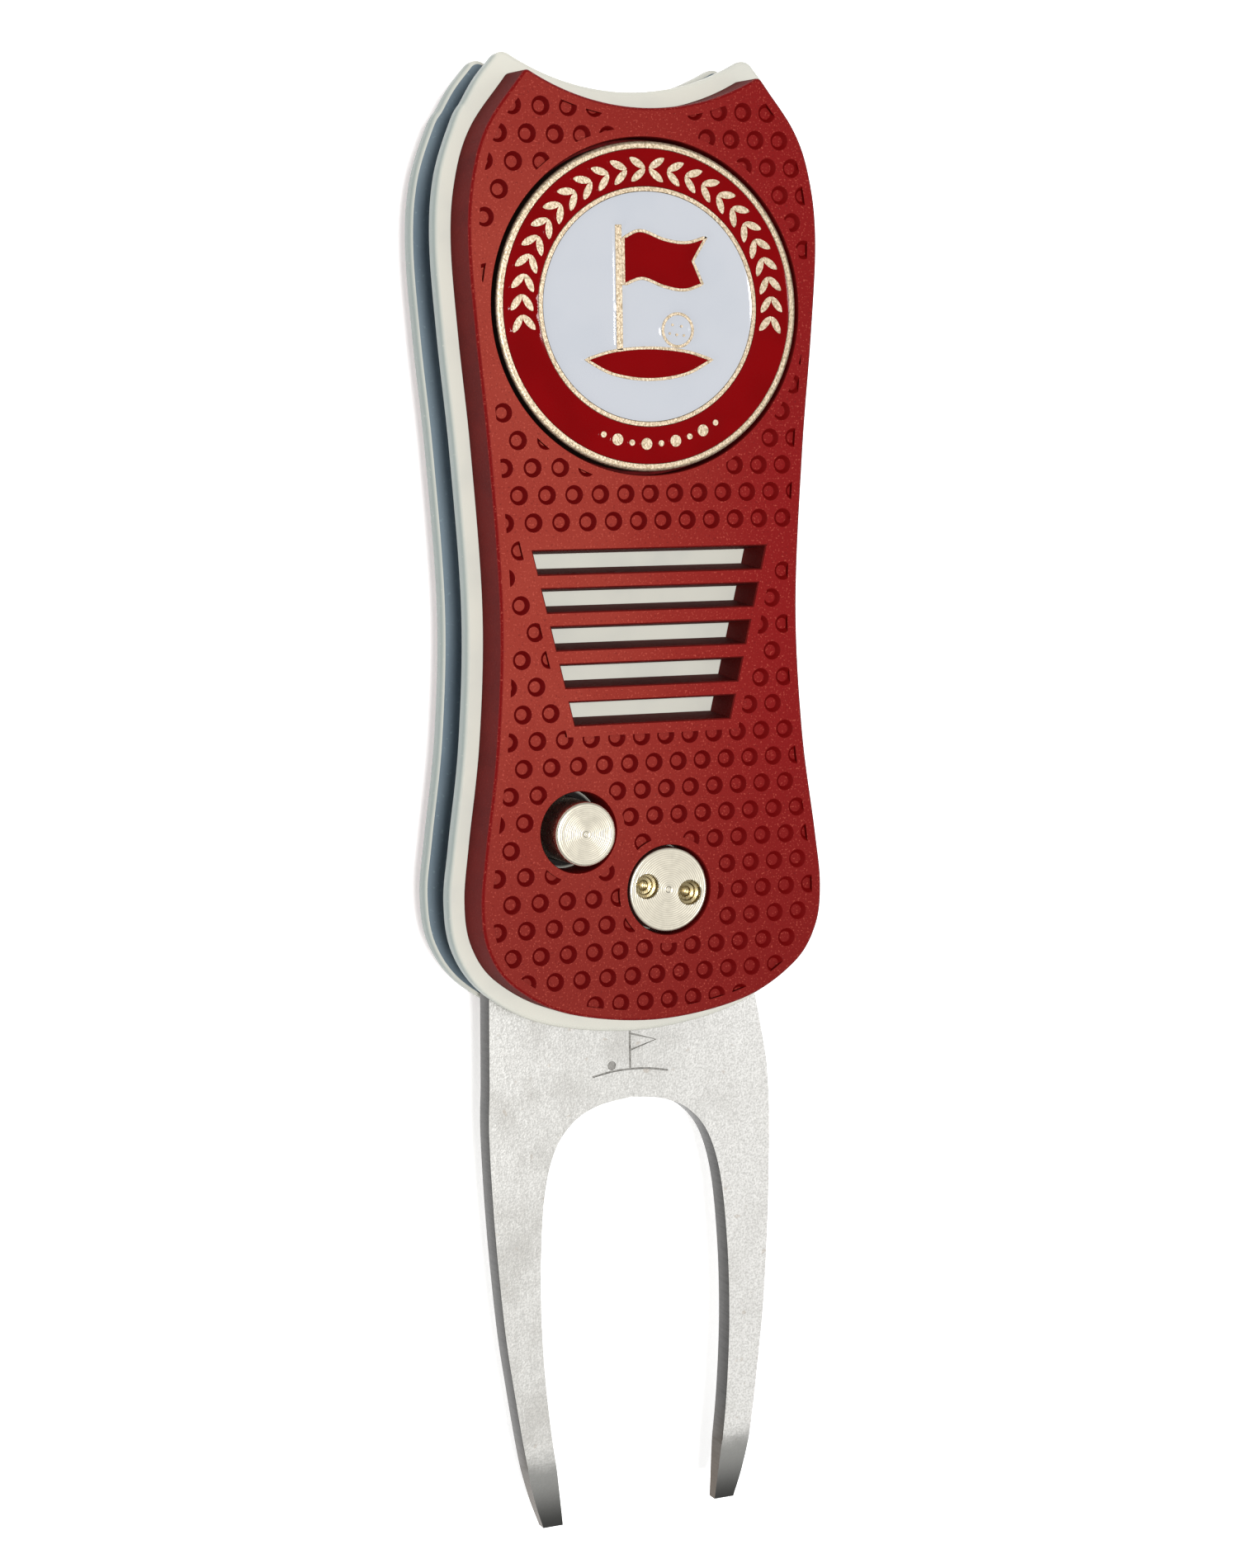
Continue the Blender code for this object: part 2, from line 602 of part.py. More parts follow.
def make_frame_screws():
    for index, spot in enumerate(FRAME_SCREWS):
        name = f"frame_screw_{index + 1}"
        head = FIT + SCREW_HEAD_THICK
        tip = Z_FRONT_GRIP + LAYER_GAP + SCREW_DEPTH_IN_GRIP
        profile = (
            (0.0, tip), (SCREW_RADIUS, tip), (SCREW_RADIUS, head), (SCREW_HEAD_RADIUS, head),
            (SCREW_HEAD_RADIUS, FIT), (0.0, FIT),
        )
        made = turned(name, profile, spot, "turned_steel", SMALL_STEPS)
        hole(f"{name}_socket", made, SCREW_SOCKET_RADIUS, spot, -THROUGH, SCREW_SOCKET_DEPTH, 6)


def make_marker():
    low = Z_FACE - RECESS_DEPTH + LAYER_GAP
    top = Z_FACE + MARKER_PROUD
    floor = top - ENAMEL_DEPTH
    edge = 0.15
    profile = (
        (0.0, floor), (FIELD_RADIUS, floor), (FIELD_RADIUS, top), (RING_INNER, top), (RING_INNER, floor),
        (RIM_INNER, floor), (RIM_INNER, top), (MARKER_RADIUS - edge, top), (MARKER_RADIUS, top - edge),
        (MARKER_RADIUS, low + edge), (MARKER_RADIUS - edge, low), (0.0, low),
    )
    centre = (0.0, 0.0)
    turned("marker_blank", profile, centre, "nickel", MARKER_STEPS)
    low, high = floor + ENAMEL_CLEAR, top - ENAMEL_CLEAR
    inner, outer = RING_INNER + ENAMEL_CLEAR, RIM_INNER - ENAMEL_CLEAR
    ring = ((inner, high), (outer, high), (outer, low), (inner, low))
    turned("marker_ring_enamel", ring, centre, "enamel_crimson", MARKER_STEPS)
    field = disc(FIELD_RADIUS - ENAMEL_CLEAR, low, high)
    turned("marker_field_enamel", field, centre, "enamel_white", MARKER_STEPS)
    magnet = disc(MAGNET_RADIUS, Z_FRONT_GRIP + LAYER_GAP, Z_FACE - RECESS_DEPTH - LAYER_GAP)
    turned("marker_magnet", magnet, centre, "magnet_black")


clear_scene()
PARTS = new_collection("divot_repair_tool")
CUTTERS = new_collection("cutters")
make_front_grip()
make_plates()
make_spine()
make_rear_grip()
make_fork()
make_pivot()
make_lock()
make_frame_screws()
make_marker()
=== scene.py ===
"""The looks of a folding divot repair tool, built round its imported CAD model.

All sizes below are in millimetres in the CAD model's frame: +Z out of the front face, +Y towards
the horns, and the origin on the rear face behind the middle of the ball marker.
"""

import math

import bmesh
import bpy
import numpy as np
from mathutils import Matrix, Vector


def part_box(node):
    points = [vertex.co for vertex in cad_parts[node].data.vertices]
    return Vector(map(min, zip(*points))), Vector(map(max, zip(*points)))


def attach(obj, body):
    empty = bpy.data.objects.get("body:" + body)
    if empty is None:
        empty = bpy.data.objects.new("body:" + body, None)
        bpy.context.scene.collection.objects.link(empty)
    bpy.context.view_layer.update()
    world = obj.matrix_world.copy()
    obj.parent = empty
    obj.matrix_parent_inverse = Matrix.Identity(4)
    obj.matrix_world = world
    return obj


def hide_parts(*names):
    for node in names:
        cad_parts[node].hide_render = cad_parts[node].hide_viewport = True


MM = 0.001

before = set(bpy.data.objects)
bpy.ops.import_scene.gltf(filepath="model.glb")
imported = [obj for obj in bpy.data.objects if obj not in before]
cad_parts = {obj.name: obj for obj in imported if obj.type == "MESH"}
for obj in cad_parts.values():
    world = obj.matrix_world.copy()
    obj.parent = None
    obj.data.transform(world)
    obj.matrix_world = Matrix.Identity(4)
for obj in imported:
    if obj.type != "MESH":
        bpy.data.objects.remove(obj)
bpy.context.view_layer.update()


def node_heights(node):
    """The lowest and highest z of a CAD node, in millimetres."""
    low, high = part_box(node)
    return low.z / MM, high.z / MM


def node_centre(node):
    low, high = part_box(node)
    return (low.x + high.x) / 2 / MM, (low.y + high.y) / 2 / MM


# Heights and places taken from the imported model.
Z_REAR_TOP = node_heights("rear_grip")[1]
Z_PLATE_REAR = node_heights("rear_plate")
Z_PLATE_FRONT = node_heights("front_plate")
Z_GRIP_LOW, Z_FACE = node_heights("front_grip")
Z_BLADE = node_heights("fork_blade")
Z_COIN_LOW, COIN_TOP = node_heights("marker_blank")
PIVOT = node_centre("pivot_screw")
BUTTON = node_centre("lock_button")
MARKER = (0.0, 0.0)
FRAME_SCREWS = [node_centre(f"frame_screw_{index}") for index in (1, 2, 3)]

# Half outlines, from the horn to the bottom. An edge lies a distance outside its line.
CURVE_STEPS = 8
GRIP_SIDE = (
    (9.55, 17.08), (12.36, 13.3), (13.62, 9.6), (14.05, 5.0), (13.6, -2.0), (12.75, -11.0), (12.05, -23.0),
    (12.5, -33.0), (13.55, -41.0), (14.0, -45.4), (13.52, -48.7), (11.6, -51.4), (7.2, -53.75), (0.0, -54.75),
)
PLATE_SIDE = (
    (10.05, 18.28), (11.43, 16.6), (12.46, 14.9), (13.2, 13.68), (14.54, 9.76), (14.95, 4.99), (14.5, -2.07),
    (13.65, -11.06), (12.95, -22.99), (13.39, -33.09), (14.43, -41.13), (14.9, -45.4), (14.34, -49.08),
    (12.05, -52.18), (7.4, -54.62), (0.0, -55.64),
)
NOTCH_BOTTOM = {GRIP_SIDE: 14.56, PLATE_SIDE: 15.6}
GRIP_EDGE = 0.45
GRIP_FOOT = 0.58
GRIP_ROUND = 0.3
PLATE_EDGE = 1.0
PLATE_ROUND = 0.4

# Slots in both grips.
SLOT_COUNT = 5
SLOT_TOP = -18.4
SLOT_PITCH = 2.9
SLOT_HEIGHT = 1.78
SLOT_BOTTOM = SLOT_TOP - (SLOT_COUNT - 1) * SLOT_PITCH - SLOT_HEIGHT
SLOT_HALF_WIDTH = 9.8
SLOT_TAPER = 0.243
SLOT_DRAFT = 0.33
SLOT_BREAK = 0.1
SLOT_LIP = 0.3

# Pits in both grips: a staggered field, clipped at a margin from every edge. Their pitch grows a
# little towards the left edge. The profile is (radius, depth).
PIT_PITCH_X = 2.054
PIT_PITCH_Y = 2.076
PIT_ROW_Y = -14.18
PIT_ROWS = range(-18, 22)
PIT_COLUMNS = range(-9, 10)
PIT_SPREAD = 0.0068
PIT_SPREAD_FROM = 1.0
PIT_DEPTH = 0.36
PIT_PROFILE = ((0.74, -0.6), (0.74, 0.0), (0.67, 0.05), (0.5, 0.31), (0.43, PIT_DEPTH))
PIT_SIDES = 20
PIT_EDGE_MARGIN = 0.85
PIT_SLOT_MARGIN = 0.9
PIT_HOLE_MARGIN = 0.7
PIT_RECESS_MARGIN = 0.75
PIT_REACH = 0.35
PIT_BLOCK = 0.9

# The fork, with its left half mirrored.
TINE_OUTER = (
    (12.12, -60.5), (12.27, -64.5), (12.02, -72.0), (11.44, -80.0), (10.83, -85.0), (9.95, -91.0),
    (9.2, -94.5), (8.45, -96.9),
)
TINE_INNER = (
    (0.0, -62.4), (2.9, -62.85), (5.1, -64.0), (6.75, -66.2), (7.75, -70.0), (8.2, -76.0), (8.2, -82.0),
    (7.8, -88.0), (7.2, -93.0), (6.75, -96.9),
)
ROOT_RIGHT = ((8.0, -51.5), (10.3, -53.6), (11.25, -55.2))
ROOT_LEFT = ((-11.95, -54.0), (-11.8, -47.6), (-11.3, -46.2), (-7.4, -46.2))
TANG_RADIUS = 7.7
TANG_START = 188
TANG_END = -30
TANG_STEPS = 72
REST_TURN = 0.7
FOLD_ANGLE = 180.3
LOCK_NOTCH = 3.06
PIVOT_BORE = 2.06
FORK_ROUND = 0.06
TIP_TAPER_START = -91.5
TIP_TAPER_DEPTH = 0.5
TIP_TAPER_PAST = 1.5
TIP_TAPER_HALF = 16.0
STAMP_AT = (0.15, -59.0)
STAMP_REACH = 3.8
STAMP_DEPTH = 0.1
STAMP_LINE = 0.16

# Turned pieces. The marks are a lathe's, round a small dip in the middle.
CHAMFER = 0.1
DIP_RADIUS = 0.3
DIP_DEPTH = 0.06
MARK_PITCH = 0.28
MARK_DEPTH = 0.014
PIVOT_HEAD = 3.32
PIVOT_SHAFT = 1.22
HEAD_CLEAR = 0.06
SPANNER_TILT = -11
SPANNER_OFFSET = 1.85
SPANNER_HOLE = (
    (1.02, 0.0), (0.96, -0.07), (0.92, -0.5), (0.72, -0.56), (0.66, -0.76), (0.44, -0.82), (0.38, -0.98),
    (0.0, -1.2),
)
BUTTON_CAP = 2.48
BUTTON_NECK = 1.2
BUTTON_CAP_RISE = 1.9
COLLAR_RADIUS = 3.0
COLLAR_THICK = 1.4
COLLAR_DROP = 0.25
BARREL_HEAD = 3.25
BARREL_HEAD_TOP = 1.08
BARREL_SHOULDER = 2.6
BARREL_RADIUS = 2.0
BARREL_BORE = 1.3
BARREL_BORE_LOW = 2.75
PLUG_RADIUS = 3.45
SCREW_HEAD = 1.6
SCREW_HEAD_THICK = 1.1
SCREW_SHAFT = 0.95
SOCKET_RADIUS = 0.75
SOCKET_TOP = 0.9

# Round holes in the grips and plates: FIT and SEAT_CLEAR are clearances.
FIT = 0.08
SEAT_CLEAR = 0.1
RECESS_RADIUS = 12.78
RECESS_DEPTH = 1.95
RECESS_BREAK = 0.15
MAGNET_HOLE = 6.0 + FIT
BUTTON_HOLE = 3.15
PIVOT_HOLE = 3.52
HOLE_BREAK = 0.12
BARREL_SEAT = ((BARREL_HEAD + SEAT_CLEAR, BARREL_HEAD_TOP + FIT), (BARREL_SHOULDER + FIT, 1.75))
SPRING_POCKET = 4.45
COLLAR_BORE = COLLAR_RADIUS + FIT
SCREW_BORE = SCREW_SHAFT + FIT
STOP_PIN_HOLE = ((-10.2, -44.9), 1.2 + FIT)
PLATE_HOLES = [*((spot, SCREW_BORE) for spot in FRAME_SCREWS), STOP_PIN_HOLE]
FRONT_HOLES = [*PLATE_HOLES, (PIVOT, BARREL_RADIUS + FIT), (BUTTON, BUTTON_CAP + FIT)]
REAR_HOLES = [*PLATE_HOLES, (PIVOT, SPRING_POCKET), (BUTTON, COLLAR_BORE)]

# The ball marker.
MARKER_RADIUS = 12.5
RIM_INNER = 11.92
RING_INNER = 9.1
FIELD_RADIUS = 8.7
FIELD_MIDDLE = 0.005
COIN_FLOOR = COIN_TOP - 0.4
METAL_BREAK = 0.05
LINE_HALF = 0.17
RIDGE_EDGE = 0.07
WREATH_START, WREATH_END, WREATH_COUNT = 187.0, -7.0, 24
WREATH_ROWS = ((10.86, -0.62), (9.94, 0.62))
LEAF_LENGTH = 0.82
LEAF_WIDTH = 0.35
BEAD_START, BEAD_END, BEAD_COUNT = -112.0, -58.0, 9
BEAD_RING = 10.4
BEAD_RADII = (0.3, 0.52)
BALL_CENTRE = (2.4, -1.75)
BALL_RADIUS = 1.25
BALL_DIMPLES = ((2.0, -1.35), (2.75, -1.45), (2.35, -2.1), (1.75, -2.0), (2.95, -2.15))
ENAMEL_LEVEL = COIN_TOP - 0.17
ENAMEL_RISE = 0.15
ENAMEL_GAP = 0.01
MENISCUS = 0.42

# How far a cutter stands past the surface that it cuts.
PAST = 0.5

# Tolerances: a face near a size, in millimetres; then what counts as level, and how near a plane a
# vertex is put back on it, both in metres.
NEAR = 0.02
LEVEL = 1e-7
NEAR_PLANE = 2.6e-5

# The camera and the floor, in millimetres, and the light, in metres and watts. The surround's
# strength rises with the cosine of the angle to its bright side.
CAMERA_LENS = 71.1
CAMERA_AT = (-96.8, -12.3, 232.8)
CAMERA_BACK = (-0.3922, 0.1011, 0.9143)
CAMERA_UP = (0.0534, 0.9948, -0.0870)
FLOOR_SIZE = 6000.0
FLOOR_Z = -0.02
FLOOR_GLOW = 0.42
BRIGHT_SIDE = (0.39, -0.1, 0.915)
SURROUND = {"From Min": 0.55, "From Max": 0.9, "To Min": 0.42, "To Max": 0.88}
KEY_LIGHT_AT = (-0.2, 0.0, 1.0)
KEY_LIGHT_TOWARDS = (0.0, -0.03, 0.0)
KEY_LIGHT_SIZE = 0.22
KEY_LIGHT_POWER = 11.5


# ---------------------------------------------------------------- outlines


def smooth_through(knots, mirror_end=False):
    """Points on a smooth curve through all the knots. mirror_end carries it level over x = 0."""
    knots = [Vector(knot) for knot in knots]
    last = Vector((-knots[-2].x, knots[-2].y)) if mirror_end else 2 * knots[-1] - knots[-2]
    padded = [2 * knots[0] - knots[1], *knots, last]
    points = []
    for a, b, c, d in zip(padded, padded[1:], padded[2:], padded[3:]):
        slope, bend, twist = c - a, 2 * a - 5 * b + 4 * c - d, 3 * b - a - 3 * c + d
        for t in (step / CURVE_STEPS for step in range(CURVE_STEPS)):
            points.append(0.5 * (2 * b + slope * t + bend * t**2 + twist * t**3))
    points.append(knots[-1])
    return points


def offset(points, distance, closed=False):
    """The line moved to its left by distance."""
    count = len(points)
    moved = []
    for index, point in enumerate(points):
        if closed:
            along = points[(index + 1) % count] - points[index - 1]
        else:
            along = points[min(index + 1, count - 1)] - points[max(index - 1, 0)]
        moved.append(point + Vector((-along.y, along.x)).normalized() * distance)
    return moved


def shrunk(outline, distance):
    """The closed outline moved inwards, keeping its sharp corners sharp."""
    count = len(outline)
    moved = []
    for index, point in enumerate(outline):
        before = (point - outline[index - 1]).normalized()
        after = (outline[(index + 1) % count] - point).normalized()
        normal = Vector((before.y, -before.x)) + Vector((after.y, -after.x))
        length = max(normal.length, 0.8)
        moved.append(point + normal / length * distance * 2 / length)
    return moved


def stroke(points, width):
    """The closed outline of a line of a given width."""
    line = [Vector(p) for p in points]
    return offset(line, width / 2) + list(reversed(offset(line, -width / 2)))


def mirrored(points):
    return [Vector((-p.x, p.y)) for p in reversed(points)]


def polar(angle):
    return Vector((math.cos(angle), math.sin(angle)))


def turned_about(point, centre, degrees):
    arm = Vector(point) - Vector(centre)
    cosine, sine = math.cos(math.radians(degrees)), math.sin(math.radians(degrees))
    return Vector(centre) + Vector((arm.x * cosine - arm.y * sine, arm.x * sine + arm.y * cosine))


def circle(centre, radius, count):
    points = []
    for angle in (math.tau * i / count for i in range(count)):
        points.append(Vector((centre[0] + radius * math.cos(angle), centre[1] + radius * math.sin(angle))))
    return points


def box_outline(x, y, length, width):
    """A rectangle round a middle point."""
    half, side = length / 2, width / 2
    return ((x - half, y - side), (x + half, y - side), (x + half, y + side), (x - half, y + side))


def quarter(steps):
    """Pairs (a, b) for rounding an edge: a goes from 0 to 1 and b from 1 to 0, round a quarter circle."""
    angles = [math.pi / 2 * i / steps for i in range(steps + 1)]
    return [(1 - math.cos(angle), 1 - math.sin(angle)) for angle in angles]


def handle_outline(knots, grow):
    """The closed clockwise outline that lies grow outside the curve through the knots."""
    side = smooth_through(knots, mirror_end=True)
    horn = side[0]
    rise = horn.y - NOTCH_BOTTOM[knots]
    centre = Vector((0.0, horn.y + (horn.x ** 2 - rise ** 2) / (2 * rise)))
    radius = (horn - centre).length
    spread = math.asin(horn.x / radius)
    notch = []
    for i in range(21):
        angle = spread * i / 20
        notch.append(centre + Vector((math.sin(angle), -math.cos(angle))) * radius)
    notch, side = offset(notch, grow), offset(side, grow)
    notch[0].x = 0.0
    side[-1].x = 0.0
    start, end = notch[-1] - horn, side[0] - horn
    turn = start.angle_signed(end)
    corner = []
    for i in range(1, 10):
        angle = math.atan2(start.y, start.x) - turn * i / 10
        corner.append(horn + polar(angle) * abs(grow))
    right = notch + corner + side
    return right + mirrored(right)[1:-1]


# ---------------------------------------------------------------- meshes


def raw_object(name, vertices, faces):
    """An object from vertices in millimetres. Its faces are turned to point outwards."""
    mesh = bpy.data.meshes.new(name)
    mesh.from_pydata([tuple(c * MM for c in v) for v in vertices], [], faces)
    clean = bmesh.new()
    clean.from_mesh(mesh)
    bmesh.ops.remove_doubles(clean, verts=clean.verts, dist=1e-8)
    bmesh.ops.recalc_face_normals(clean, faces=clean.faces)
    clean.to_mesh(mesh)
    clean.free()
    made = bpy.data.objects.new(name, mesh)
    bpy.context.scene.collection.objects.link(made)
    return made


def at_height(points, z):
    return [(p[0], p[1], z) for p in points]


def band(a, b, count):
    """The faces between two closed rows of vertices, given the first vertex of each."""
    return [(a + i, b + i, b + (i + 1) % count, a + (i + 1) % count) for i in range(count)]


def many_solids(name, lofts, loops=()):
    """One object of separate solids: lofts have capped ends, and a loop's last ring joins its first."""
    vertices, faces = [], []
    for rings in loops:
        count, start = len(rings[0]), len(vertices)
        vertices += [vertex for ring in rings for vertex in ring]
        for level in range(len(rings)):
            faces += band(start + level * count, start + (level + 1) % len(rings) * count, count)
    for rings in lofts:
        count, start = len(rings[0]), len(vertices)
        vertices += [vertex for ring in rings for vertex in ring]
        last = len(vertices) - count
        faces.append(range(start, start + count))
        for low in range(start, last, count):
            faces += band(low, low + count, count)
        faces.append(range(last + count - 1, last - 1, -1))
    return raw_object(name, vertices, [list(face) for face in faces])


def loft(name, rings):
    return many_solids(name, [rings])


def prism(name, outline, z_low, z_high):
    return loft(name, [at_height(outline, z_low), at_height(outline, z_high)])


def turned(name, profile, centre, steps=96):
    """A solid of revolution about Z. The profile is (radius, z); its ends may lie on the axis."""
    vertices, faces, rows = [], [], []
    for radius, z in profile:
        on_axis = radius < 1e-6
        rows.append((len(vertices), on_axis))
        vertices += at_height([centre] if on_axis else circle(centre, radius, steps), z)
    pairs = list(zip(rows, rows[1:]))
    if not rows[0][1] and not rows[-1][1]:
        pairs.append((rows[-1], rows[0]))
    for (a, a_on_axis), (b, b_on_axis) in pairs:
        if a_on_axis:
            faces += [(a, b + i, b + (i + 1) % steps) for i in range(steps)]
        elif b_on_axis:
            faces += [(a + i, b, a + (i + 1) % steps) for i in range(steps)]
        else:
            faces += band(a, b, steps)
    return raw_object(name, vertices, faces)


def carve(thing, cutter, operation="DIFFERENCE"):
    """Cuts the cutter out of the thing for good, and removes the cutter."""
    change = thing.modifiers.new("carve", "BOOLEAN")
    change.operation = operation
    change.solver = "MANIFOLD"
    change.object = cutter
    bpy.context.view_layer.update()
    graph = bpy.context.evaluated_depsgraph_get()
    mesh = bpy.data.meshes.new_from_object(thing.evaluated_get(graph))
    thing.modifiers.clear()
    thing.data = mesh
    bpy.data.objects.remove(cutter, do_unlink=True)


def bore(thing, centre, radius, low, high, steps):
    """Cuts a round hole through the thing, past both heights."""
    top, bottom = high + PAST, low - PAST
    profile = ((0.0, top), (radius, top), (radius, bottom), (0.0, bottom))
    carve(thing, turned("bore", profile, centre, steps))


def flatten(thing, heights):
    """Puts back on its plane, given in millimetres, every vertex that a Boolean has left a hair off it."""
    for vertex in thing.data.vertices:
        for height in heights:
            if abs(vertex.co.z - height * MM) < NEAR_PLANE:
                vertex.co.z = height * MM
    thing.data.update()


def shade(thing, angle):
    """Smooth shading, with level faces kept flat and creases kept sharp."""
    mesh = thing.data
    mesh.set_sharp_from_angle(angle=math.radians(angle))
    heights = np.empty(len(mesh.vertices) * 3, np.float32)
    mesh.vertices.foreach_get("co", heights)
    heights = heights.reshape(-1, 3)[:, 2]
    for face in mesh.polygons:
        levels = heights[list(face.vertices)]
        face.use_smooth = bool(levels.max() - levels.min() > LEVEL)


def dress(thing, body, finishes, replaces=(), choose=None, angle=30.0):
    """Gives a finished piece its shading, materials and body, and hides the CAD nodes that it stands for."""
    shade(thing, angle)
    mesh = thing.data
    mesh.materials.clear()
    for finish in finishes:
        mesh.materials.append(finish)
    if choose:
        for face in mesh.polygons:
            face.material_index = choose(face.center / MM, face.normal)
    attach(thing, body)
    if replaces:
        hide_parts(*replaces)


# ---------------------------------------------------------------- finishes


def linear(colour):
    """A colour given as it looks on a screen, 0 to 255, in linear light."""
    return tuple((value / 255) ** 2.2 for value in colour) + (1.0,)


def darker(colour, by):
    return tuple(round(value * by) for value in colour)


def add_node(tree, kind, inputs=(), **settings):
    """A node with its settings. Each input is given a value, or the output to link to it."""
    made = tree.nodes.new(kind)
    for key, value in settings.items():
        setattr(made, key, value)
    for key, value in dict(inputs).items():
        if isinstance(value, bpy.types.NodeSocket):
            tree.links.new(value, made.inputs[key])
        else:
            made.inputs[key].default_value = value
    return made


class Finish:
    """One node material. Sizes are in millimetres, and colours are as they look on a screen."""

    def __init__(self, name, colour, roughness, metallic=0.0, specular=0.5):
        self.material = bpy.data.materials.new(name)
        self.material.use_nodes = True
        self.tree = self.material.node_tree
        self.shader = self.tree.nodes["Principled BSDF"]
        self.shader.inputs["Base Color"].default_value = linear(colour)
        self.shader.inputs["Roughness"].default_value = roughness
        self.shader.inputs["Metallic"].default_value = metallic
        self.shader.inputs["Specular IOR Level"].default_value = specular
        self.colour = linear(colour)
        self.normal = None

    def node(self, kind, inputs=(), **settings):
        return add_node(self.tree, kind, inputs, **settings)

    def set(self, socket, output):
        self.tree.links.new(output, self.shader.inputs[socket])

    def place(self, stretch=(1.0, 1.0, 1.0), at=(0.0, 0.0)):
        """Object coordinates, moved so that a vertical axis is the middle, then stretched."""
        where = self.node("ShaderNodeTexCoord").outputs["Object"]
        shift = (-at[0] * MM, -at[1] * MM, 0.0)
        moved = self.node("ShaderNodeVectorMath", {0: where, 1: shift}, operation="ADD").outputs[0]
        return self.node("ShaderNodeMapping", {"Vector": moved, "Scale": stretch}).outputs[0]

    def noise(self, size, detail=3.0, stretch=(1.0, 1.0, 1.0), rough=0.55):
        """Noise whose features are about size millimetres across."""
        inputs = {"Vector": self.place(stretch), "Scale": 1 / (size * MM)}
        return self.node("ShaderNodeTexNoise", {**inputs, "Detail": detail, "Roughness": rough}).outputs[0]

    def rings(self, centre, pitch):
        """A wave from 0 to 1 with a ring every pitch millimetres round a vertical axis."""
        inputs = {"Vector": self.place(at=centre), "Scale": math.tau / 20 / (pitch * MM)}
        return self.node("ShaderNodeTexWave", inputs, wave_type="RINGS", rings_direction="Z").outputs["Fac"]

    def ramp(self, value, low, high):
        """0 where value is under low, 1 where it is over high, and smooth between."""
        inputs = {"Value": value, "From Min": low, "From Max": high}
        return self.node("ShaderNodeMapRange", inputs, interpolation_type="SMOOTHSTEP").outputs[0]

    def maths(self, operation, *values):
        return self.node("ShaderNodeMath", dict(enumerate(values)), operation=operation).outputs[0]

    def component(self, output, axis):
        """One component of the object's coordinates or of the surface's own normal."""
        where = self.node("ShaderNodeTexCoord").outputs[output]
        return self.node("ShaderNodeSeparateXYZ", {"Vector": where}).outputs[axis]

    def along(self, axis, low, high):
        """0 to 1 as the position along an axis goes from low to high, in millimetres."""
        return self.ramp(self.component("Object", axis), low * MM, high * MM)

    def facing(self, axis, low, high):
        """0 to 1 as the surface's own normal turns towards an axis of the object."""
        return self.ramp(self.component("Normal", axis), low, high)

    def edge(self, flat, steep):
        """0 where the surface lies flat, 1 where it has turned away by the given cosine."""
        return self.ramp(self.maths("ABSOLUTE", self.component("Normal", "Z")), flat, steep)

    def near(self, centre, far, close):
        """0 to 1 as the distance from a vertical axis falls from far to close, in millimetres."""
        flat = self.place((1.0, 1.0, 0.0), centre)
        gap = self.node("ShaderNodeVectorMath", {0: flat}, operation="LENGTH").outputs["Value"]
        return self.ramp(gap, far * MM, close * MM)

    def tint(self, amount, colour, most=1.0):
        """Mixes a colour over what is there so far, by up to most where the amount is 1."""
        if most < 1.0:
            amount = self.maths("MULTIPLY", amount, most)
        inputs = {0: amount, 6: self.colour, 7: linear(colour)}
        self.colour = self.node("ShaderNodeMix", inputs, data_type="RGBA").outputs[2]
        self.set("Base Color", self.colour)

    def clouds(self, size, low, high, colour, most=1.0, **pattern):
        """Mixes a colour in where a noise is high."""
        self.tint(self.ramp(self.noise(size, **pattern), low, high), colour, most)

    def specks(self, size, low, high, colour, most):
        self.clouds(size, low, high, colour, most, detail=1.0)

    def gloss(self, size, smoothest, roughest, detail=3.0):
        """Varies the roughness with a noise."""
        inputs = {"Value": self.noise(size, detail), "To Min": smoothest, "To Max": roughest}
        self.set("Roughness", self.node("ShaderNodeMapRange", inputs).outputs[0])

    def bump(self, value, depth):
        """Raises the surface by up to depth millimetres where the value is 1."""
        inputs = {"Height": value, "Distance": depth * MM}
        if self.normal:
            inputs["Normal"] = self.normal
        self.normal = self.node("ShaderNodeBump", inputs).outputs[0]
        self.set("Normal", self.normal)

    def grain(self, size, depth, **pattern):
        self.bump(self.noise(size, **pattern), depth)


def red_face(name):
    """The grips' face: satin moulded plastic, paler to the left as painted sheen, with painted shade
    deepening the red to the right, to both ends and round its edges.
    """
    made = Finish(name, (126, 46, 36), 0.55, specular=0.1)
    made.clouds(9.0, 0.35, 0.7, (121, 40, 31), detail=2.0)
    # Painted sheen and shade: paler to the left, deeper red to the right.
    made.tint(made.along("X", -9.0, 12.0), (108, 13, 14))
    # Painted shade: deeper red towards the tail and towards the horns.
    made.tint(made.along("Y", -22.0, -54.0), (96, 18, 15), 0.7)
    made.tint(made.along("Y", 4.0, 17.0), (104, 14, 13), 0.55)
    # Painted shade: dark red on the rounded edge, where the face turns away.
    made.tint(made.edge(0.985, 0.8), (98, 3, 6))
    made.specks(0.16, 0.6, 0.72, (176, 84, 70), 0.35)
    made.specks(0.21, 0.62, 0.74, (78, 12, 12), 0.4)
    made.grain(0.2, 0.012)
    made.gloss(0.6, 0.42, 0.6)
    return made.material


def shaded_red_wall(name):
    """The grips' outer side and the walls of their slots: duller, and darker than the face as painted shade.
    """
    # Painted shade: this whole material is a darker copy of the face's red.
    made = Finish(name, (85, 19, 17), 0.7, specular=0.08)
    made.clouds(3.0, 0.35, 0.8, (73, 14, 14), detail=4.0, stretch=(1.0, 1.0, 0.5))
    made.specks(0.14, 0.6, 0.75, (108, 42, 36), 0.4)
    made.grain(0.16, 0.014)
    return made.material


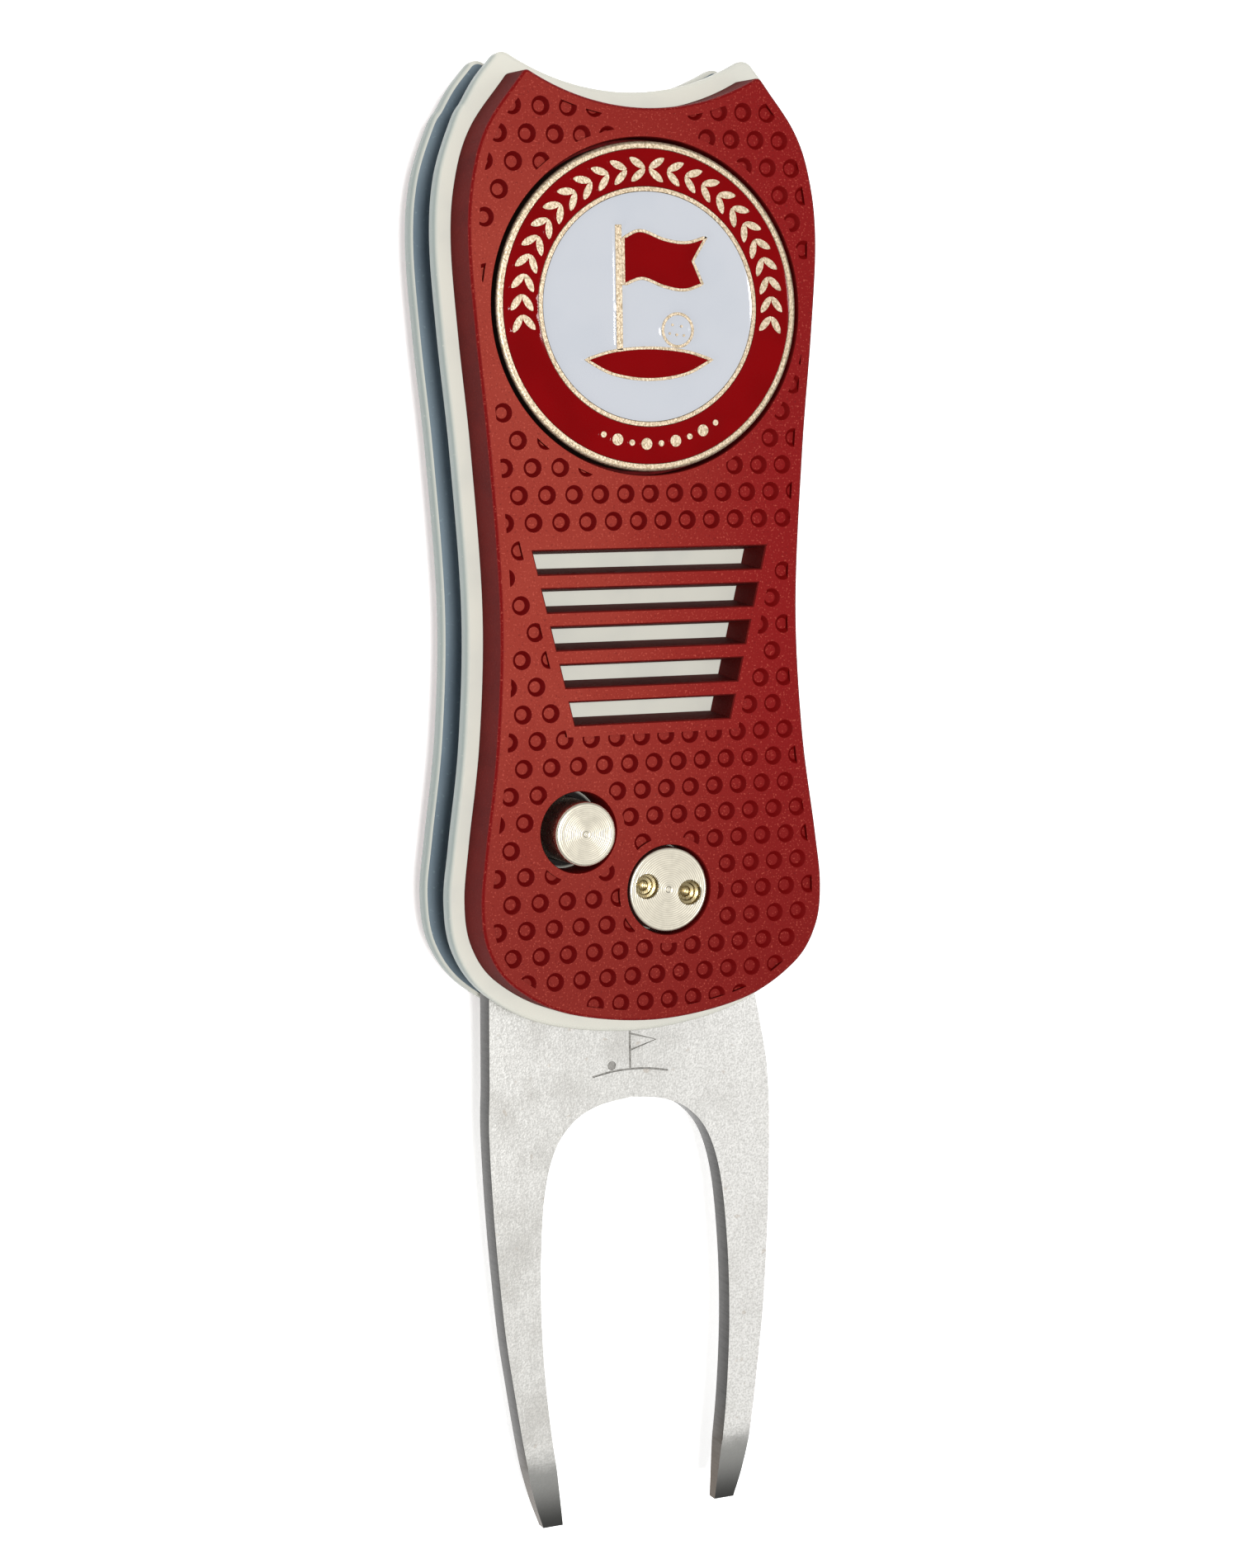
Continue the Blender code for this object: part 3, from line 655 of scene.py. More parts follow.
def shaded_red_pit(name):
    """Inside the pits: a deeper red than the face as painted shade, with the painted shade lighter towards
    the right.
    """
    # Painted shade: a darker copy of the face's red for the pits' walls.
    made = Finish(name, (82, 3, 5), 0.6, specular=0.08)
    # The painted shade eases off towards the right.
    made.tint(made.along("X", 1.0, 13.0), (100, 8, 10), 0.6)
    made.specks(0.15, 0.58, 0.75, (104, 16, 14), 0.4)
    made.grain(0.18, 0.01, detail=2.0)
    return made.material


def shaded_red_bore(name):
    """The walls of the round holes and of the coin's recess, dark red as painted shade, with fine marks along
    them.
    """
    # Painted shade: a dark copy of the red for the deep holes and the coin's recess.
    made = Finish(name, (88, 13, 13), 0.6, specular=0.1)
    made.clouds(1.2, 0.35, 0.7, (66, 9, 9), stretch=(1.0, 1.0, 0.3))
    made.grain(0.3, 0.012, stretch=(1.0, 1.0, 0.1))
    return made.material


def shaded_inside_grey(name):
    """The plates' inner faces, in the gap between them: dark blue-grey painted shade over the white."""
    # Painted shade: the plates' white as it looks in the gap's shadow.
    made = Finish(name, (98, 111, 119), 0.5, specular=0.3)
    made.clouds(4.0, 0.35, 0.7, (84, 97, 106), stretch=(1.0, 0.3, 1.0))
    made.specks(0.3, 0.64, 0.8, (130, 146, 150), 0.3)
    made.grain(0.5, 0.008, stretch=(1.0, 0.3, 1.0))
    return made.material


def painted_white(name, shadowed=None):
    """Warm white paint on the plates, greyer where a side faces left as painted shade, and a painted shadow
    at the bottom of a shadowed hole.
    """
    made = Finish(name, (184, 183, 173), 0.42, specular=0.2)
    made.clouds(6.0, 0.4, 0.75, (176, 176, 168))
    # Painted shade: greyer where the surface faces left.
    made.tint(made.facing("X", -0.3, -0.9), (130, 138, 135))
    if shadowed:
        # Painted shadow: near black round the button, at the bottom of its hole.
        made.tint(made.near(shadowed, 3.3, 2.9), (16, 8, 7))
    made.specks(0.3, 0.66, 0.8, (186, 184, 176), 0.3)
    made.grain(0.5, 0.006)
    made.gloss(2.0, 0.34, 0.5)
    return made.material


def spacer_grey(name):
    """The spine: matt blue-grey plastic with faint marks along it."""
    made = Finish(name, (122, 136, 148), 0.55)
    made.clouds(5.0, 0.35, 0.7, (96, 112, 128), stretch=(1.0, 0.2, 1.0))
    made.specks(0.25, 0.64, 0.8, (170, 182, 190), 0.35)
    made.grain(0.4, 0.01, stretch=(1.0, 0.15, 1.0))
    return made.material


def brushed_steel(name):
    """The fork: blasted and lightly brushed along its length, lighter to the right as painted sheen, with
    painted shade on its tapered tips.
    """
    made = Finish(name, (223, 222, 218), 0.3, 1.0)
    brush = made.noise(0.3, 4.0, (1.0, 0.25, 1.0), 0.65)
    made.tint(made.ramp(brush, 0.4, 0.75), (188, 187, 183), 0.4)
    made.clouds(4.0, 0.42, 0.68, (194, 192, 187), 0.8, detail=4.0, stretch=(1.0, 0.8, 1.0), rough=0.6)
    # Painted sheen: lighter towards the right.
    made.tint(made.along("X", -2.0, 11.0), (244, 243, 240), 0.6)
    made.clouds(0.16, 0.35, 0.7, (178, 177, 173), 0.6)
    made.specks(0.8, 0.7, 0.78, (168, 150, 130), 0.3)
    # Painted shade of the tips' taper: darker in blotches from y -89 towards the tips, then near black at the
    # very tips.
    blotch = made.maths("MULTIPLY", made.noise(3.0), 0.6)
    ground = made.maths("ADD", made.along("Y", -89.0, -94.5), blotch)
    made.tint(made.ramp(ground, 0.35, 1.1), (150, 150, 147))
    made.tint(made.along("Y", -92.5, -97.0), (60, 60, 59), 0.95)
    made.bump(brush, 0.008)
    made.grain(0.16, 0.014)
    made.gloss(0.25, 0.24, 0.4)
    return made.material


def stamped_steel(name):
    """The floor of the stamp, darker for the marking."""
    made = Finish(name, (142, 140, 136), 0.42, 1.0)
    made.clouds(0.25, 0.4, 0.7, (112, 110, 106))
    made.grain(0.14, 0.012)
    return made.material


def cut_steel_dark_reflection(name):
    """The fork's blanked edge: fine lines across its thickness, and a dark base colour as a painted
    reflection of a dark surround.
    """
    # Painted reflection: the dark grey stands in for the dark surround that the edge reflects.
    made = Finish(name, (60, 59, 58), 0.4, 1.0)
    lines = made.noise(0.3, 4.0, (1.0, 1.0, 0.08), 0.6)
    made.tint(made.ramp(lines, 0.4, 0.7), (50, 49, 48))
    made.tint(made.along("Y", -88.0, -96.0), (84, 70, 54), 0.5)
    made.bump(lines, 0.015)
    return made.material


def turned_metal(name, centre, pitch, colour=(226, 219, 201)):
    """Metal turned on a lathe, with rings round its axis."""
    made = Finish(name, colour, 0.26, 1.0)
    rings = made.rings(centre, pitch)
    made.tint(made.ramp(rings, 0.55, 0.95), darker(colour, 0.84), 0.55)
    made.clouds(0.9, 0.5, 0.75, darker(colour, 0.84), 0.35)
    made.bump(rings, 0.008)
    made.gloss(0.5, 0.2, 0.36)
    return made.material


def drilled_brass(name, centre):
    """Inside the pivot screw's spanner holes."""
    made = Finish(name, (172, 158, 122), 0.3, 1.0)
    made.clouds(0.4, 0.4, 0.7, (128, 112, 80))
    made.bump(made.rings(centre, 0.12), 0.01)
    return made.material


def blasted_nickel(name):
    """The coin's raised metal: champagne-coloured, with a fine blasted grain."""
    made = Finish(name, (196, 179, 155), 0.45, 1.0)
    made.clouds(0.22, 0.42, 0.62, (160, 143, 118))
    made.specks(0.14, 0.58, 0.7, (218, 205, 184), 0.7)
    made.grain(0.16, 0.03)
    made.gloss(0.25, 0.36, 0.54, 2.0)
    return made.material


def shaded_coin_side(name):
    """The coin's side down in the recess, darkened as painted shade."""
    # Painted shade: a dark copy of the nickel for the side in the recess.
    made = Finish(name, (84, 76, 66), 0.45, 1.0)
    made.clouds(0.5, 0.4, 0.75, (64, 56, 48))
    made.grain(0.2, 0.01)
    return made.material


def enamel(name, colour, second, specular):
    """Poured enamel: glossy, with soft clouds and specks of a second colour."""
    made = Finish(name, colour, 0.08, specular=specular)
    made.clouds(5.0, 0.4, 0.7, second, 0.5, detail=2.0)
    made.specks(0.5, 0.72, 0.8, second, 0.25)
    made.grain(3.0, 0.006, detail=2.0)
    return made.material


def small_metal(name, colour, roughness):
    """Springs, washers and pins, mostly hidden between the plates."""
    made = Finish(name, colour, roughness, 1.0)
    made.clouds(0.7, 0.4, 0.7, darker(colour, 0.78))
    made.grain(0.25, 0.008)
    made.gloss(0.4, max(roughness - 0.08, 0.1), roughness + 0.1)
    return made.material


FACE, WALL, PIT, DEEP = range(4)
GRIP_FINISHES = (red_face("red_face"), shaded_red_wall("shaded_red_wall"), shaded_red_pit("shaded_red_pit"), shaded_red_bore("shaded_red_bore"))
WHITE = painted_white("white_paint")
WHITE_FRONT = painted_white("white_paint_front", BUTTON)
INSIDE = shaded_inside_grey("plate_inside_painted_shade")
STEEL = (brushed_steel("brushed_steel"), cut_steel_dark_reflection("cut_edge_painted_reflection"), stamped_steel("stamped_steel"))
TURNED_PIVOT = turned_metal("turned_metal_pivot", PIVOT, 0.17)
TURNED_BUTTON = turned_metal("turned_metal_button", BUTTON, 0.15)
BRASS = drilled_brass("drilled_brass", PIVOT)
NICKEL = blasted_nickel("blasted_nickel")
NICKEL_SHADED_SIDE = shaded_coin_side("nickel_side_painted_shade")
CRIMSON = enamel("crimson_enamel", (106, 1, 10), (94, 1, 8), 0.05)
PORCELAIN = enamel("white_enamel", (162, 165, 171), (157, 161, 168), 0.5)


# ---------------------------------------------------------------- pits


def distance_inside(points, outline):
    """How far each point is inside a closed outline; negative outside."""
    starts = np.array([tuple(p) for p in outline])
    ends = np.roll(starts, -1, axis=0)
    along = ends - starts
    length = (along**2).sum(axis=1)
    rise = np.where(along[:, 1] == 0.0, 1.0, along[:, 1])
    result = np.empty(len(points))
    for first in range(0, len(points), 4000):
        some = points[first:first + 4000, None, :]
        t = np.clip(((some - starts) * along).sum(axis=2) / length, 0.0, 1.0)
        gap = np.sqrt(((some - starts - t[..., None] * along) ** 2).sum(axis=2)).min(axis=1)
        x, y = some[..., 0], some[..., 1]
        crosses = (starts[:, 1] > y) != (ends[:, 1] > y)
        at = starts[:, 0] + (y - starts[:, 1]) / rise * along[:, 0]
        inside = (crosses & (x < at)).sum(axis=1) % 2 == 1
        result[first:first + 4000] = np.where(inside, gap, -gap)
    return result


def slot_half_width(y):
    return SLOT_HALF_WIDTH - SLOT_TAPER * (SLOT_TOP - y)


def tapered_zone(top, bottom, wider):
    """The outline of one slot, or of all of them, with its ends moved out."""
    wide, narrow = slot_half_width(top) + wider, slot_half_width(bottom) + wider
    return ((-wide, top), (wide, top), (narrow, bottom), (-narrow, bottom))


def pit_room(points, outline, rounds):
    """How far each point is inside the area that may hold pits; negative outside."""
    room = distance_inside(points, outline) - PIT_EDGE_MARGIN
    for centre, radius in rounds:
        room = np.minimum(room, np.hypot(points[:, 0] - centre[0], points[:, 1] - centre[1]) - radius)
    x, y = np.abs(points[:, 0]), points[:, 1]
    above, below = y - SLOT_TOP - PIT_SLOT_MARGIN, SLOT_BOTTOM - PIT_SLOT_MARGIN - y
    beside = x - slot_half_width(y) - PIT_SLOT_MARGIN
    return np.minimum(room, np.maximum(np.maximum(above, below), beside))


def pit_centres(outline, rounds):
    """The centres of the pits that are at least partly in the area."""
    centres = []
    for row in PIT_ROWS:
        for column in PIT_COLUMNS:
            x = (column + 0.5 * (row % 2)) * PIT_PITCH_X
            left = max(0.0, -PIT_SPREAD_FROM - x)
            centres.append((x - PIT_SPREAD * left**2, PIT_ROW_Y - row * PIT_PITCH_Y))
    centres = np.array(centres)
    return centres[pit_room(centres, outline, rounds) > -PIT_REACH]


def pit_area(outline, rounds, z_face):
    """A block over the area that may hold pits."""
    inset = handle_outline(GRIP_SIDE, GRIP_EDGE - PIT_EDGE_MARGIN)
    room = distance_inside(np.array([tuple(p) for p in inset]), outline)
    low, high = z_face - PIT_BLOCK, z_face + PIT_BLOCK
    area = prism("pit_area", [p for p, gap in zip(inset, room) if gap > PIT_EDGE_MARGIN - NEAR], low, high)
    for centre, radius in rounds:
        bore(area, centre, radius, low, high, 96)
    zone = tapered_zone(SLOT_TOP + PIT_SLOT_MARGIN, SLOT_BOTTOM - PIT_SLOT_MARGIN, PIT_SLOT_MARGIN)
    carve(area, prism("pit_slots", zone, low - PAST, high + PAST))
    return area


def pit_cutter(outline, rounds, z_face, out):
    """Flat-bottomed conical pits, squared off at the area's edge. out is 1 on a face that looks up."""
    solids = []
    for centre in pit_centres(outline, rounds):
        rings = []
        for radius, depth in PIT_PROFILE:
            rings.append(at_height(circle(centre, radius, PIT_SIDES), z_face - out * depth))
        solids.append(rings)
    pits = many_solids("pits", solids)
    carve(pits, pit_area(outline, rounds, z_face), "INTERSECT")
    return pits


# ---------------------------------------------------------------- grips and plates


GRIP_RIM = handle_outline(GRIP_SIDE, GRIP_EDGE)


def grip_body(name, z_base, z_face, out):
    """A grip's outer form: drafted sides and a rounded edge round its face."""
    levels = [(GRIP_FOOT, z_base)]
    for a, b in quarter(6):
        levels.append((GRIP_EDGE - GRIP_ROUND * a, z_face - out * GRIP_ROUND * b))
    return loft(name, [at_height(handle_outline(GRIP_SIDE, grow), z) for grow, z in levels])


def slot_cutter(z_base, z_face, out):
    """Tapered slots with drafted walls and a slightly broken edge at the face."""
    levels = (
        (SLOT_BREAK, z_face + out * PAST),
        (SLOT_BREAK, z_face),
        (0.0, z_face - out * SLOT_BREAK),
        (-SLOT_DRAFT, z_base),
        (-SLOT_DRAFT, z_base - out * PAST),
    )
    solids = []
    for top in (SLOT_TOP - index * SLOT_PITCH for index in range(SLOT_COUNT)):
        rings = []
        for grow, z in levels:
            end = grow if grow > 0 else grow * 0.3
            rings.append(at_height(tapered_zone(top + grow, top - SLOT_HEIGHT - grow, end), z))
        solids.append(rings)
    return many_solids("slots", solids)


def hole_cutter(centre, stages, z_face, out, break_by=HOLE_BREAK, steps=64):
    """A stepped round hole from a face inwards, with a rounded mouth. Each stage is (radius, depth)."""
    mouth = stages[0][0]
    profile = [(0.0, z_face + out * PAST), (mouth + break_by, z_face + out * PAST)]
    for a, b in quarter(3):
        profile.append((mouth + break_by * b, z_face - out * break_by * a))
    last = 0.0
    for radius, depth in stages:
        if last:
            profile.append((radius, z_face - out * last))
        profile.append((radius, z_face - out * depth))
        last = depth
    profile.append((0.0, z_face - out * last))
    return turned("hole", profile, centre, steps)


def grip_choice(z_face, out):
    """The grip's material by face: FACE, WALL, PIT, or DEEP for the round holes and the coin's recess."""
    def choose(centre, normal):
        depth = (z_face - centre.z) * out
        if depth < 0.002:
            return FACE
        from_coin = math.hypot(centre.x, centre.y)
        if out > 0 and from_coin < RECESS_RADIUS + NEAR:
            return DEEP
        for hole, radius in ((BUTTON, BUTTON_HOLE), (PIVOT, PIVOT_HOLE)):
            if depth > HOLE_BREAK and math.hypot(centre.x - hole[0], centre.y - hole[1]) < radius + NEAR:
                return DEEP
        if depth > PIT_DEPTH + NEAR or (out > 0 and from_coin < RECESS_RADIUS + 0.4):
            return WALL
        room = distance_inside(np.array([[centre.x, centre.y]]), GRIP_RIM)[0]
        in_height = SLOT_BOTTOM - SLOT_LIP < centre.y < SLOT_TOP + SLOT_LIP
        in_slot = in_height and abs(centre.x) < slot_half_width(centre.y) + SLOT_LIP
        if room > PIT_EDGE_MARGIN - 0.1 and not in_slot:
            return FACE if depth > PIT_DEPTH - 0.01 else PIT
        return FACE if abs(normal.z) > 0.3 and not in_slot else WALL
    return choose


def make_front_grip():
    grip = grip_body("front_grip_skin", Z_GRIP_LOW, Z_FACE, 1)
    through = Z_FACE - Z_GRIP_LOW + PAST
    carve(grip, slot_cutter(Z_GRIP_LOW, Z_FACE, 1))
    recess = ((RECESS_RADIUS, RECESS_DEPTH), (MAGNET_HOLE, through))
    carve(grip, hole_cutter(MARKER, recess, Z_FACE, 1, RECESS_BREAK, 160))
    rounds = [(MARKER, RECESS_RADIUS + PIT_RECESS_MARGIN)]
    for centre, radius in ((BUTTON, BUTTON_HOLE), (PIVOT, PIVOT_HOLE)):
        carve(grip, hole_cutter(centre, ((radius, through),), Z_FACE, 1))
        rounds.append((centre, radius + PIT_HOLE_MARGIN))
    carve(grip, pit_cutter(GRIP_RIM, rounds, Z_FACE, 1))
    flatten(grip, (Z_FACE, Z_FACE - PIT_DEPTH, Z_FACE - RECESS_DEPTH, Z_GRIP_LOW))
    dress(grip, "handle", GRIP_FINISHES, ("front_grip",), grip_choice(Z_FACE, 1), 38.0)


def make_rear_grip():
    grip = grip_body("rear_grip_skin", Z_REAR_TOP, 0.0, -1)
    through = Z_REAR_TOP + PAST
    carve(grip, slot_cutter(Z_REAR_TOP, 0.0, -1))
    plug_top = node_heights("spring_plug")[1]
    head_top = node_heights("frame_screw_1")[0] + SCREW_HEAD_THICK
    screw_seat = ((SCREW_HEAD + SEAT_CLEAR, head_top + FIT), (SCREW_BORE, through))
    seats = [
        (PIVOT, (*BARREL_SEAT, (SPRING_POCKET, through))),
        (BUTTON, ((PLUG_RADIUS + SEAT_CLEAR, plug_top + FIT), (COLLAR_BORE, through))),
        *((spot, screw_seat) for spot in FRAME_SCREWS),
    ]
    rounds = []
    for centre, stages in seats:
        carve(grip, hole_cutter(centre, stages, 0.0, -1))
        rounds.append((centre, stages[0][0] + PIT_HOLE_MARGIN))
    carve(grip, pit_cutter(GRIP_RIM, rounds, 0.0, -1))
    flatten(grip, (0.0, PIT_DEPTH, Z_REAR_TOP))
    dress(grip, "handle", GRIP_FINISHES, ("rear_grip",), grip_choice(0.0, -1), 38.0)


def make_plate(node, heights, holes, finish):
    """A plate with rounded edges, painted white, with the face that looks into the gap given a blue-grey
    painted shade.
    """
    low, high = heights
    levels = [(PLATE_EDGE - PLATE_ROUND * b, low + PLATE_ROUND * a) for a, b in quarter(6)]
    levels += [(grow, high - (z - low)) for grow, z in reversed(levels)]
    plate = loft(f"{node}_skin", [at_height(handle_outline(PLATE_SIDE, grow), z) for grow, z in levels])
    for centre, radius in holes:
        bore(plate, centre, radius, low, high, 48)
    flatten(plate, (low, high))
    gap = (Z_PLATE_REAR[1] + Z_PLATE_FRONT[0]) / 2

    # Faces that look into the gap take the blue-grey painted shade.
    def choose(centre, normal):
        return 1 if normal.z * (gap - centre.z) > 0.9 * abs(gap - centre.z) else 0

    dress(plate, "handle", (finish, INSIDE), (node,), choose, 40.0)


# ---------------------------------------------------------------- fork


def fork_outline():
    """The fork's clockwise outline: two tines, the root and the round tang, with the fork open."""
    tine = smooth_through(TINE_OUTER) + list(reversed(smooth_through(TINE_INNER)))
    tang = []
    for step in range(TANG_STEPS + 1):
        angle = math.radians(TANG_START + (TANG_END - TANG_START) * step / TANG_STEPS)
        tang.append(Vector(PIVOT) + polar(angle) * TANG_RADIUS)
    root_right, root_left = [Vector(p) for p in ROOT_RIGHT], [Vector(p) for p in ROOT_LEFT]
    path = root_right + tine + mirrored(tine)[1:] + root_left + tang
    return [turned_about(p, PIVOT, REST_TURN) for p in path]


def stamp_shapes():
    """A small pennant on a pole over a rise of ground, sunk as lines into the root of the fork."""
    x, y = STAMP_AT
    rise = ((x - 3.3, y - 1.5), (x - 1.6, y - 1.2), (x, y - 1.12), (x + 1.6, y - 1.2), (x + 3.3, y - 1.5))
    return (
        stroke(((x, y + 2.2), (x, y - 1.05)), STAMP_LINE),
        stroke(((x + 0.1, y + 1.75), (x + 2.3, y + 1.1), (x + 0.1, y + 0.45)), STAMP_LINE),
        stroke(smooth_through(rise), STAMP_LINE),
        circle((x - 1.6, y - 0.72), 0.36, 24),
    )


def make_fork():
    low, high = Z_BLADE
    levels = [(FORK_ROUND * b, low + FORK_ROUND * a) for a, b in quarter(4)]
    levels += [(inset, high - (z - low)) for inset, z in reversed(levels)]
    outline = fork_outline()
    fork = loft("fork_skin", [at_height(shrunk(outline, inset), z) for inset, z in levels])
    folded = turned_about(BUTTON, PIVOT, -FOLD_ANGLE)
    for centre, radius in ((PIVOT, PIVOT_BORE), (BUTTON, LOCK_NOTCH), (folded, LOCK_NOTCH)):
        bore(fork, centre, radius, low, high, 64)
    tip = TINE_OUTER[-1][1]
    reach = tip - TIP_TAPER_PAST
    drop = TIP_TAPER_DEPTH * (TIP_TAPER_START - reach) / (TIP_TAPER_START - tip)
    for face, out in ((high, 1), (low, -1)):
        near = [(side * TIP_TAPER_HALF, TIP_TAPER_START, face) for side in (-1, 1)]
        far = [(side * TIP_TAPER_HALF, reach, face - out * drop) for side in (1, -1)]
        carve(fork, loft("taper", [near + far, at_height(near + far, face + out * 2.0)]))
    stamp_floor = high - STAMP_DEPTH
    for shape in stamp_shapes():
        carve(fork, prism("stamp", shape, stamp_floor, high + PAST))
    flatten(fork, (low, high, stamp_floor))

    def choose(centre, normal):
        near_stamp = (Vector((centre.x, centre.y)) - Vector(STAMP_AT)).length < STAMP_REACH
        if near_stamp and stamp_floor - 0.01 < centre.z < high - 0.005:
            return 2
        return 0 if abs(normal.z) > 0.8 else 1

    dress(fork, "fork", STEEL, ("fork_blade",), choose)


# ---------------------------------------------------------------- turned pieces


def turning_marks(radius, z):
    """Profile points of a face turned on a lathe, from the middle out to a radius."""
    points = [(0.0, z - DIP_DEPTH), (DIP_RADIUS * 0.6, z - DIP_DEPTH), (DIP_RADIUS, z)]
    at = DIP_RADIUS + MARK_PITCH / 2
    while at < radius - MARK_PITCH / 2:
        points += [(at, z - MARK_DEPTH), (at + MARK_PITCH / 2, z)]
        at += MARK_PITCH
    return points


def head_profile(radius, z_top, z_low, edge=0.18, marks=True):
    """A turned head from the middle of its top to the bottom of its side."""
    face = turning_marks(radius - edge, z_top) if marks else [(0.0, z_top)]
    corner = [(radius - edge * b, z_top - edge * a) for a, b in quarter(5)]
    return face + corner + [(radius, z_low)]


def rear_head(radius, z_face, z_top, edge, marks=True):
    """A head that looks down, from the middle of its face to the top of its side."""
    return [(r, -z) for r, z in head_profile(radius, -z_face, -z_top, edge, marks)]


def make_pivot_screw():
    low, top = node_heights("pivot_screw")
    head_low = Z_PLATE_FRONT[1] + HEAD_CLEAR
    profile = head_profile(PIVOT_HEAD, top, head_low) + [
        (PIVOT_SHAFT, head_low), (PIVOT_SHAFT, low + 0.2), (PIVOT_SHAFT - 0.2, low), (0.0, low),
    ]
    screw = turned("pivot_screw_skin", profile, PIVOT)
    reach = polar(math.radians(SPANNER_TILT)) * SPANNER_OFFSET
    spots = (Vector(PIVOT) - reach, Vector(PIVOT) + reach)
    mouth = SPANNER_HOLE[0][0]
    drill = [(0.0, top + PAST), (mouth, top + PAST), *((radius, top + z) for radius, z in SPANNER_HOLE)]
    for spot in spots:
        carve(screw, turned("spanner_hole", drill, spot, 40))

    def choose(centre, normal):
        near = min((Vector((centre.x, centre.y)) - spot).length for spot in spots)
        return 1 if near < mouth - 0.05 and top - 1.2 < centre.z < top - 0.05 else 0

    dress(screw, "handle", (TURNED_PIVOT, BRASS), ("pivot_screw",), choose)


def make_lock_button():
    low, top = node_heights("lock_button")
    cap_low = Z_BLADE[1] + BUTTON_CAP_RISE
    collar_top = Z_BLADE[0] - COLLAR_DROP
    collar_low = collar_top - COLLAR_THICK
    profile = head_profile(BUTTON_CAP, top, cap_low, 0.22) + [
        (BUTTON_NECK, cap_low), (BUTTON_NECK, collar_top), (COLLAR_RADIUS - CHAMFER, collar_top),
        (COLLAR_RADIUS, collar_top - CHAMFER), (COLLAR_RADIUS, collar_low + CHAMFER),
        (COLLAR_RADIUS - CHAMFER, collar_low), (BUTTON_NECK, collar_low), (BUTTON_NECK, low + CHAMFER),
        (BUTTON_NECK - CHAMFER, low), (0.0, low),
    ]
    button = turned("lock_button_skin", profile, BUTTON, 80)
    dress(button, "button", (TURNED_BUTTON,), ("lock_button",))


def carve_driver_slot(thing, centre, length, width, face, depth):
    """Cuts a screwdriver slot upwards into a face that looks down."""
    carve(thing, prism("driver_slot", box_outline(*centre, length, width), face - PAST, face + depth))


def make_pivot_barrel():
    low, high = node_heights("pivot_barrel")
    shoulder = Z_PLATE_REAR[1]
    profile = rear_head(BARREL_HEAD, low, BARREL_HEAD_TOP, 0.15) + [
        (BARREL_SHOULDER, BARREL_HEAD_TOP), (BARREL_SHOULDER, shoulder), (BARREL_RADIUS, shoulder),
        (BARREL_RADIUS, high - CHAMFER), (BARREL_RADIUS - CHAMFER, high), (BARREL_BORE, high),
        (BARREL_BORE, BARREL_BORE_LOW), (0.0, BARREL_BORE_LOW),
    ]
    barrel = turned("pivot_barrel_skin", profile, PIVOT, 80)
    carve_driver_slot(barrel, PIVOT, 7.0, 0.8, low, 0.55)
    dress(barrel, "handle", (TURNED_PIVOT,), ("pivot_barrel",))


def make_spring_plug():
    low, high = node_heights("spring_plug")
    profile = rear_head(PLUG_RADIUS, low, high - CHAMFER, 0.12) + [(PLUG_RADIUS - CHAMFER, high), (0.0, high)]
    plug = turned("spring_plug_skin", profile, BUTTON, 80)
    carve_driver_slot(plug, BUTTON, 4.0, 0.7, low, 0.45)
    dress(plug, "handle", (TURNED_BUTTON,), ("spring_plug",))


def make_frame_screw(index, spot):
    low, high = node_heights(f"frame_screw_{index}")
    head = low + SCREW_HEAD_THICK
    profile = rear_head(SCREW_HEAD, low, head, 0.12, False) + [
        (SCREW_SHAFT, head), (SCREW_SHAFT, high - 0.15), (SCREW_SHAFT - 0.15, high), (0.0, high),
    ]
    screw = turned(f"frame_screw_skin_{index}", profile, spot, 48)
    mouth = SOCKET_RADIUS + 0.11
    levels = ((mouth, low - PAST), (mouth, low), (SOCKET_RADIUS, low + CHAMFER), (SOCKET_RADIUS, SOCKET_TOP))
    carve(screw, loft("socket", [at_height(circle(spot, size, 6), z) for size, z in levels]))
    finish = turned_metal(f"turned_metal_screw_{index}", spot, 0.2, (196, 194, 186))
    dress(screw, "handle", (finish,), (f"frame_screw_{index}",))


# ---------------------------------------------------------------- ball marker


def flag_outline():
    top = smooth_through(((-2.05, 5.2), (-0.6, 5.75), (1.4, 5.1), (3.2, 4.9), (4.9, 5.35)))
    under = smooth_through(((4.55, 1.75), (3.0, 1.3), (1.3, 1.55), (-0.5, 2.15), (-2.05, 1.65)))
    return top + [Vector((3.75, 3.5))] + under


def mound_outline():
    top = smooth_through(((-5.3, -4.0), (-3.0, -3.35), (0.0, -3.1), (3.0, -3.35), (5.3, -4.0)))
    under = smooth_through(((5.3, -4.0), (3.0, -5.1), (0.0, -5.5), (-3.0, -5.1), (-5.3, -4.0)))
    return top[:-1] + under[:-1]


FLAG = flag_outline()
MOUND = mound_outline()
POLE = [Vector(p) for p in ((-2.75, 6.2), (-2.15, 6.2), (-2.15, -3.3), (-2.75, -3.3))]
BALL = circle(BALL_CENTRE, BALL_RADIUS, 40)[::-1]


def ridge(outline, half, z_low, z_high):
    """The rings of a raised line that follows a closed outline. They close on themselves."""
    flat = half - RIDGE_EDGE
    levels = (
        (half, z_low), (half, z_high - RIDGE_EDGE), (flat, z_high), (-flat, z_high),
        (-half, z_high - RIDGE_EDGE), (-half, z_low),
    )
    return [at_height(offset(outline, grow, True), z) for grow, z in levels]


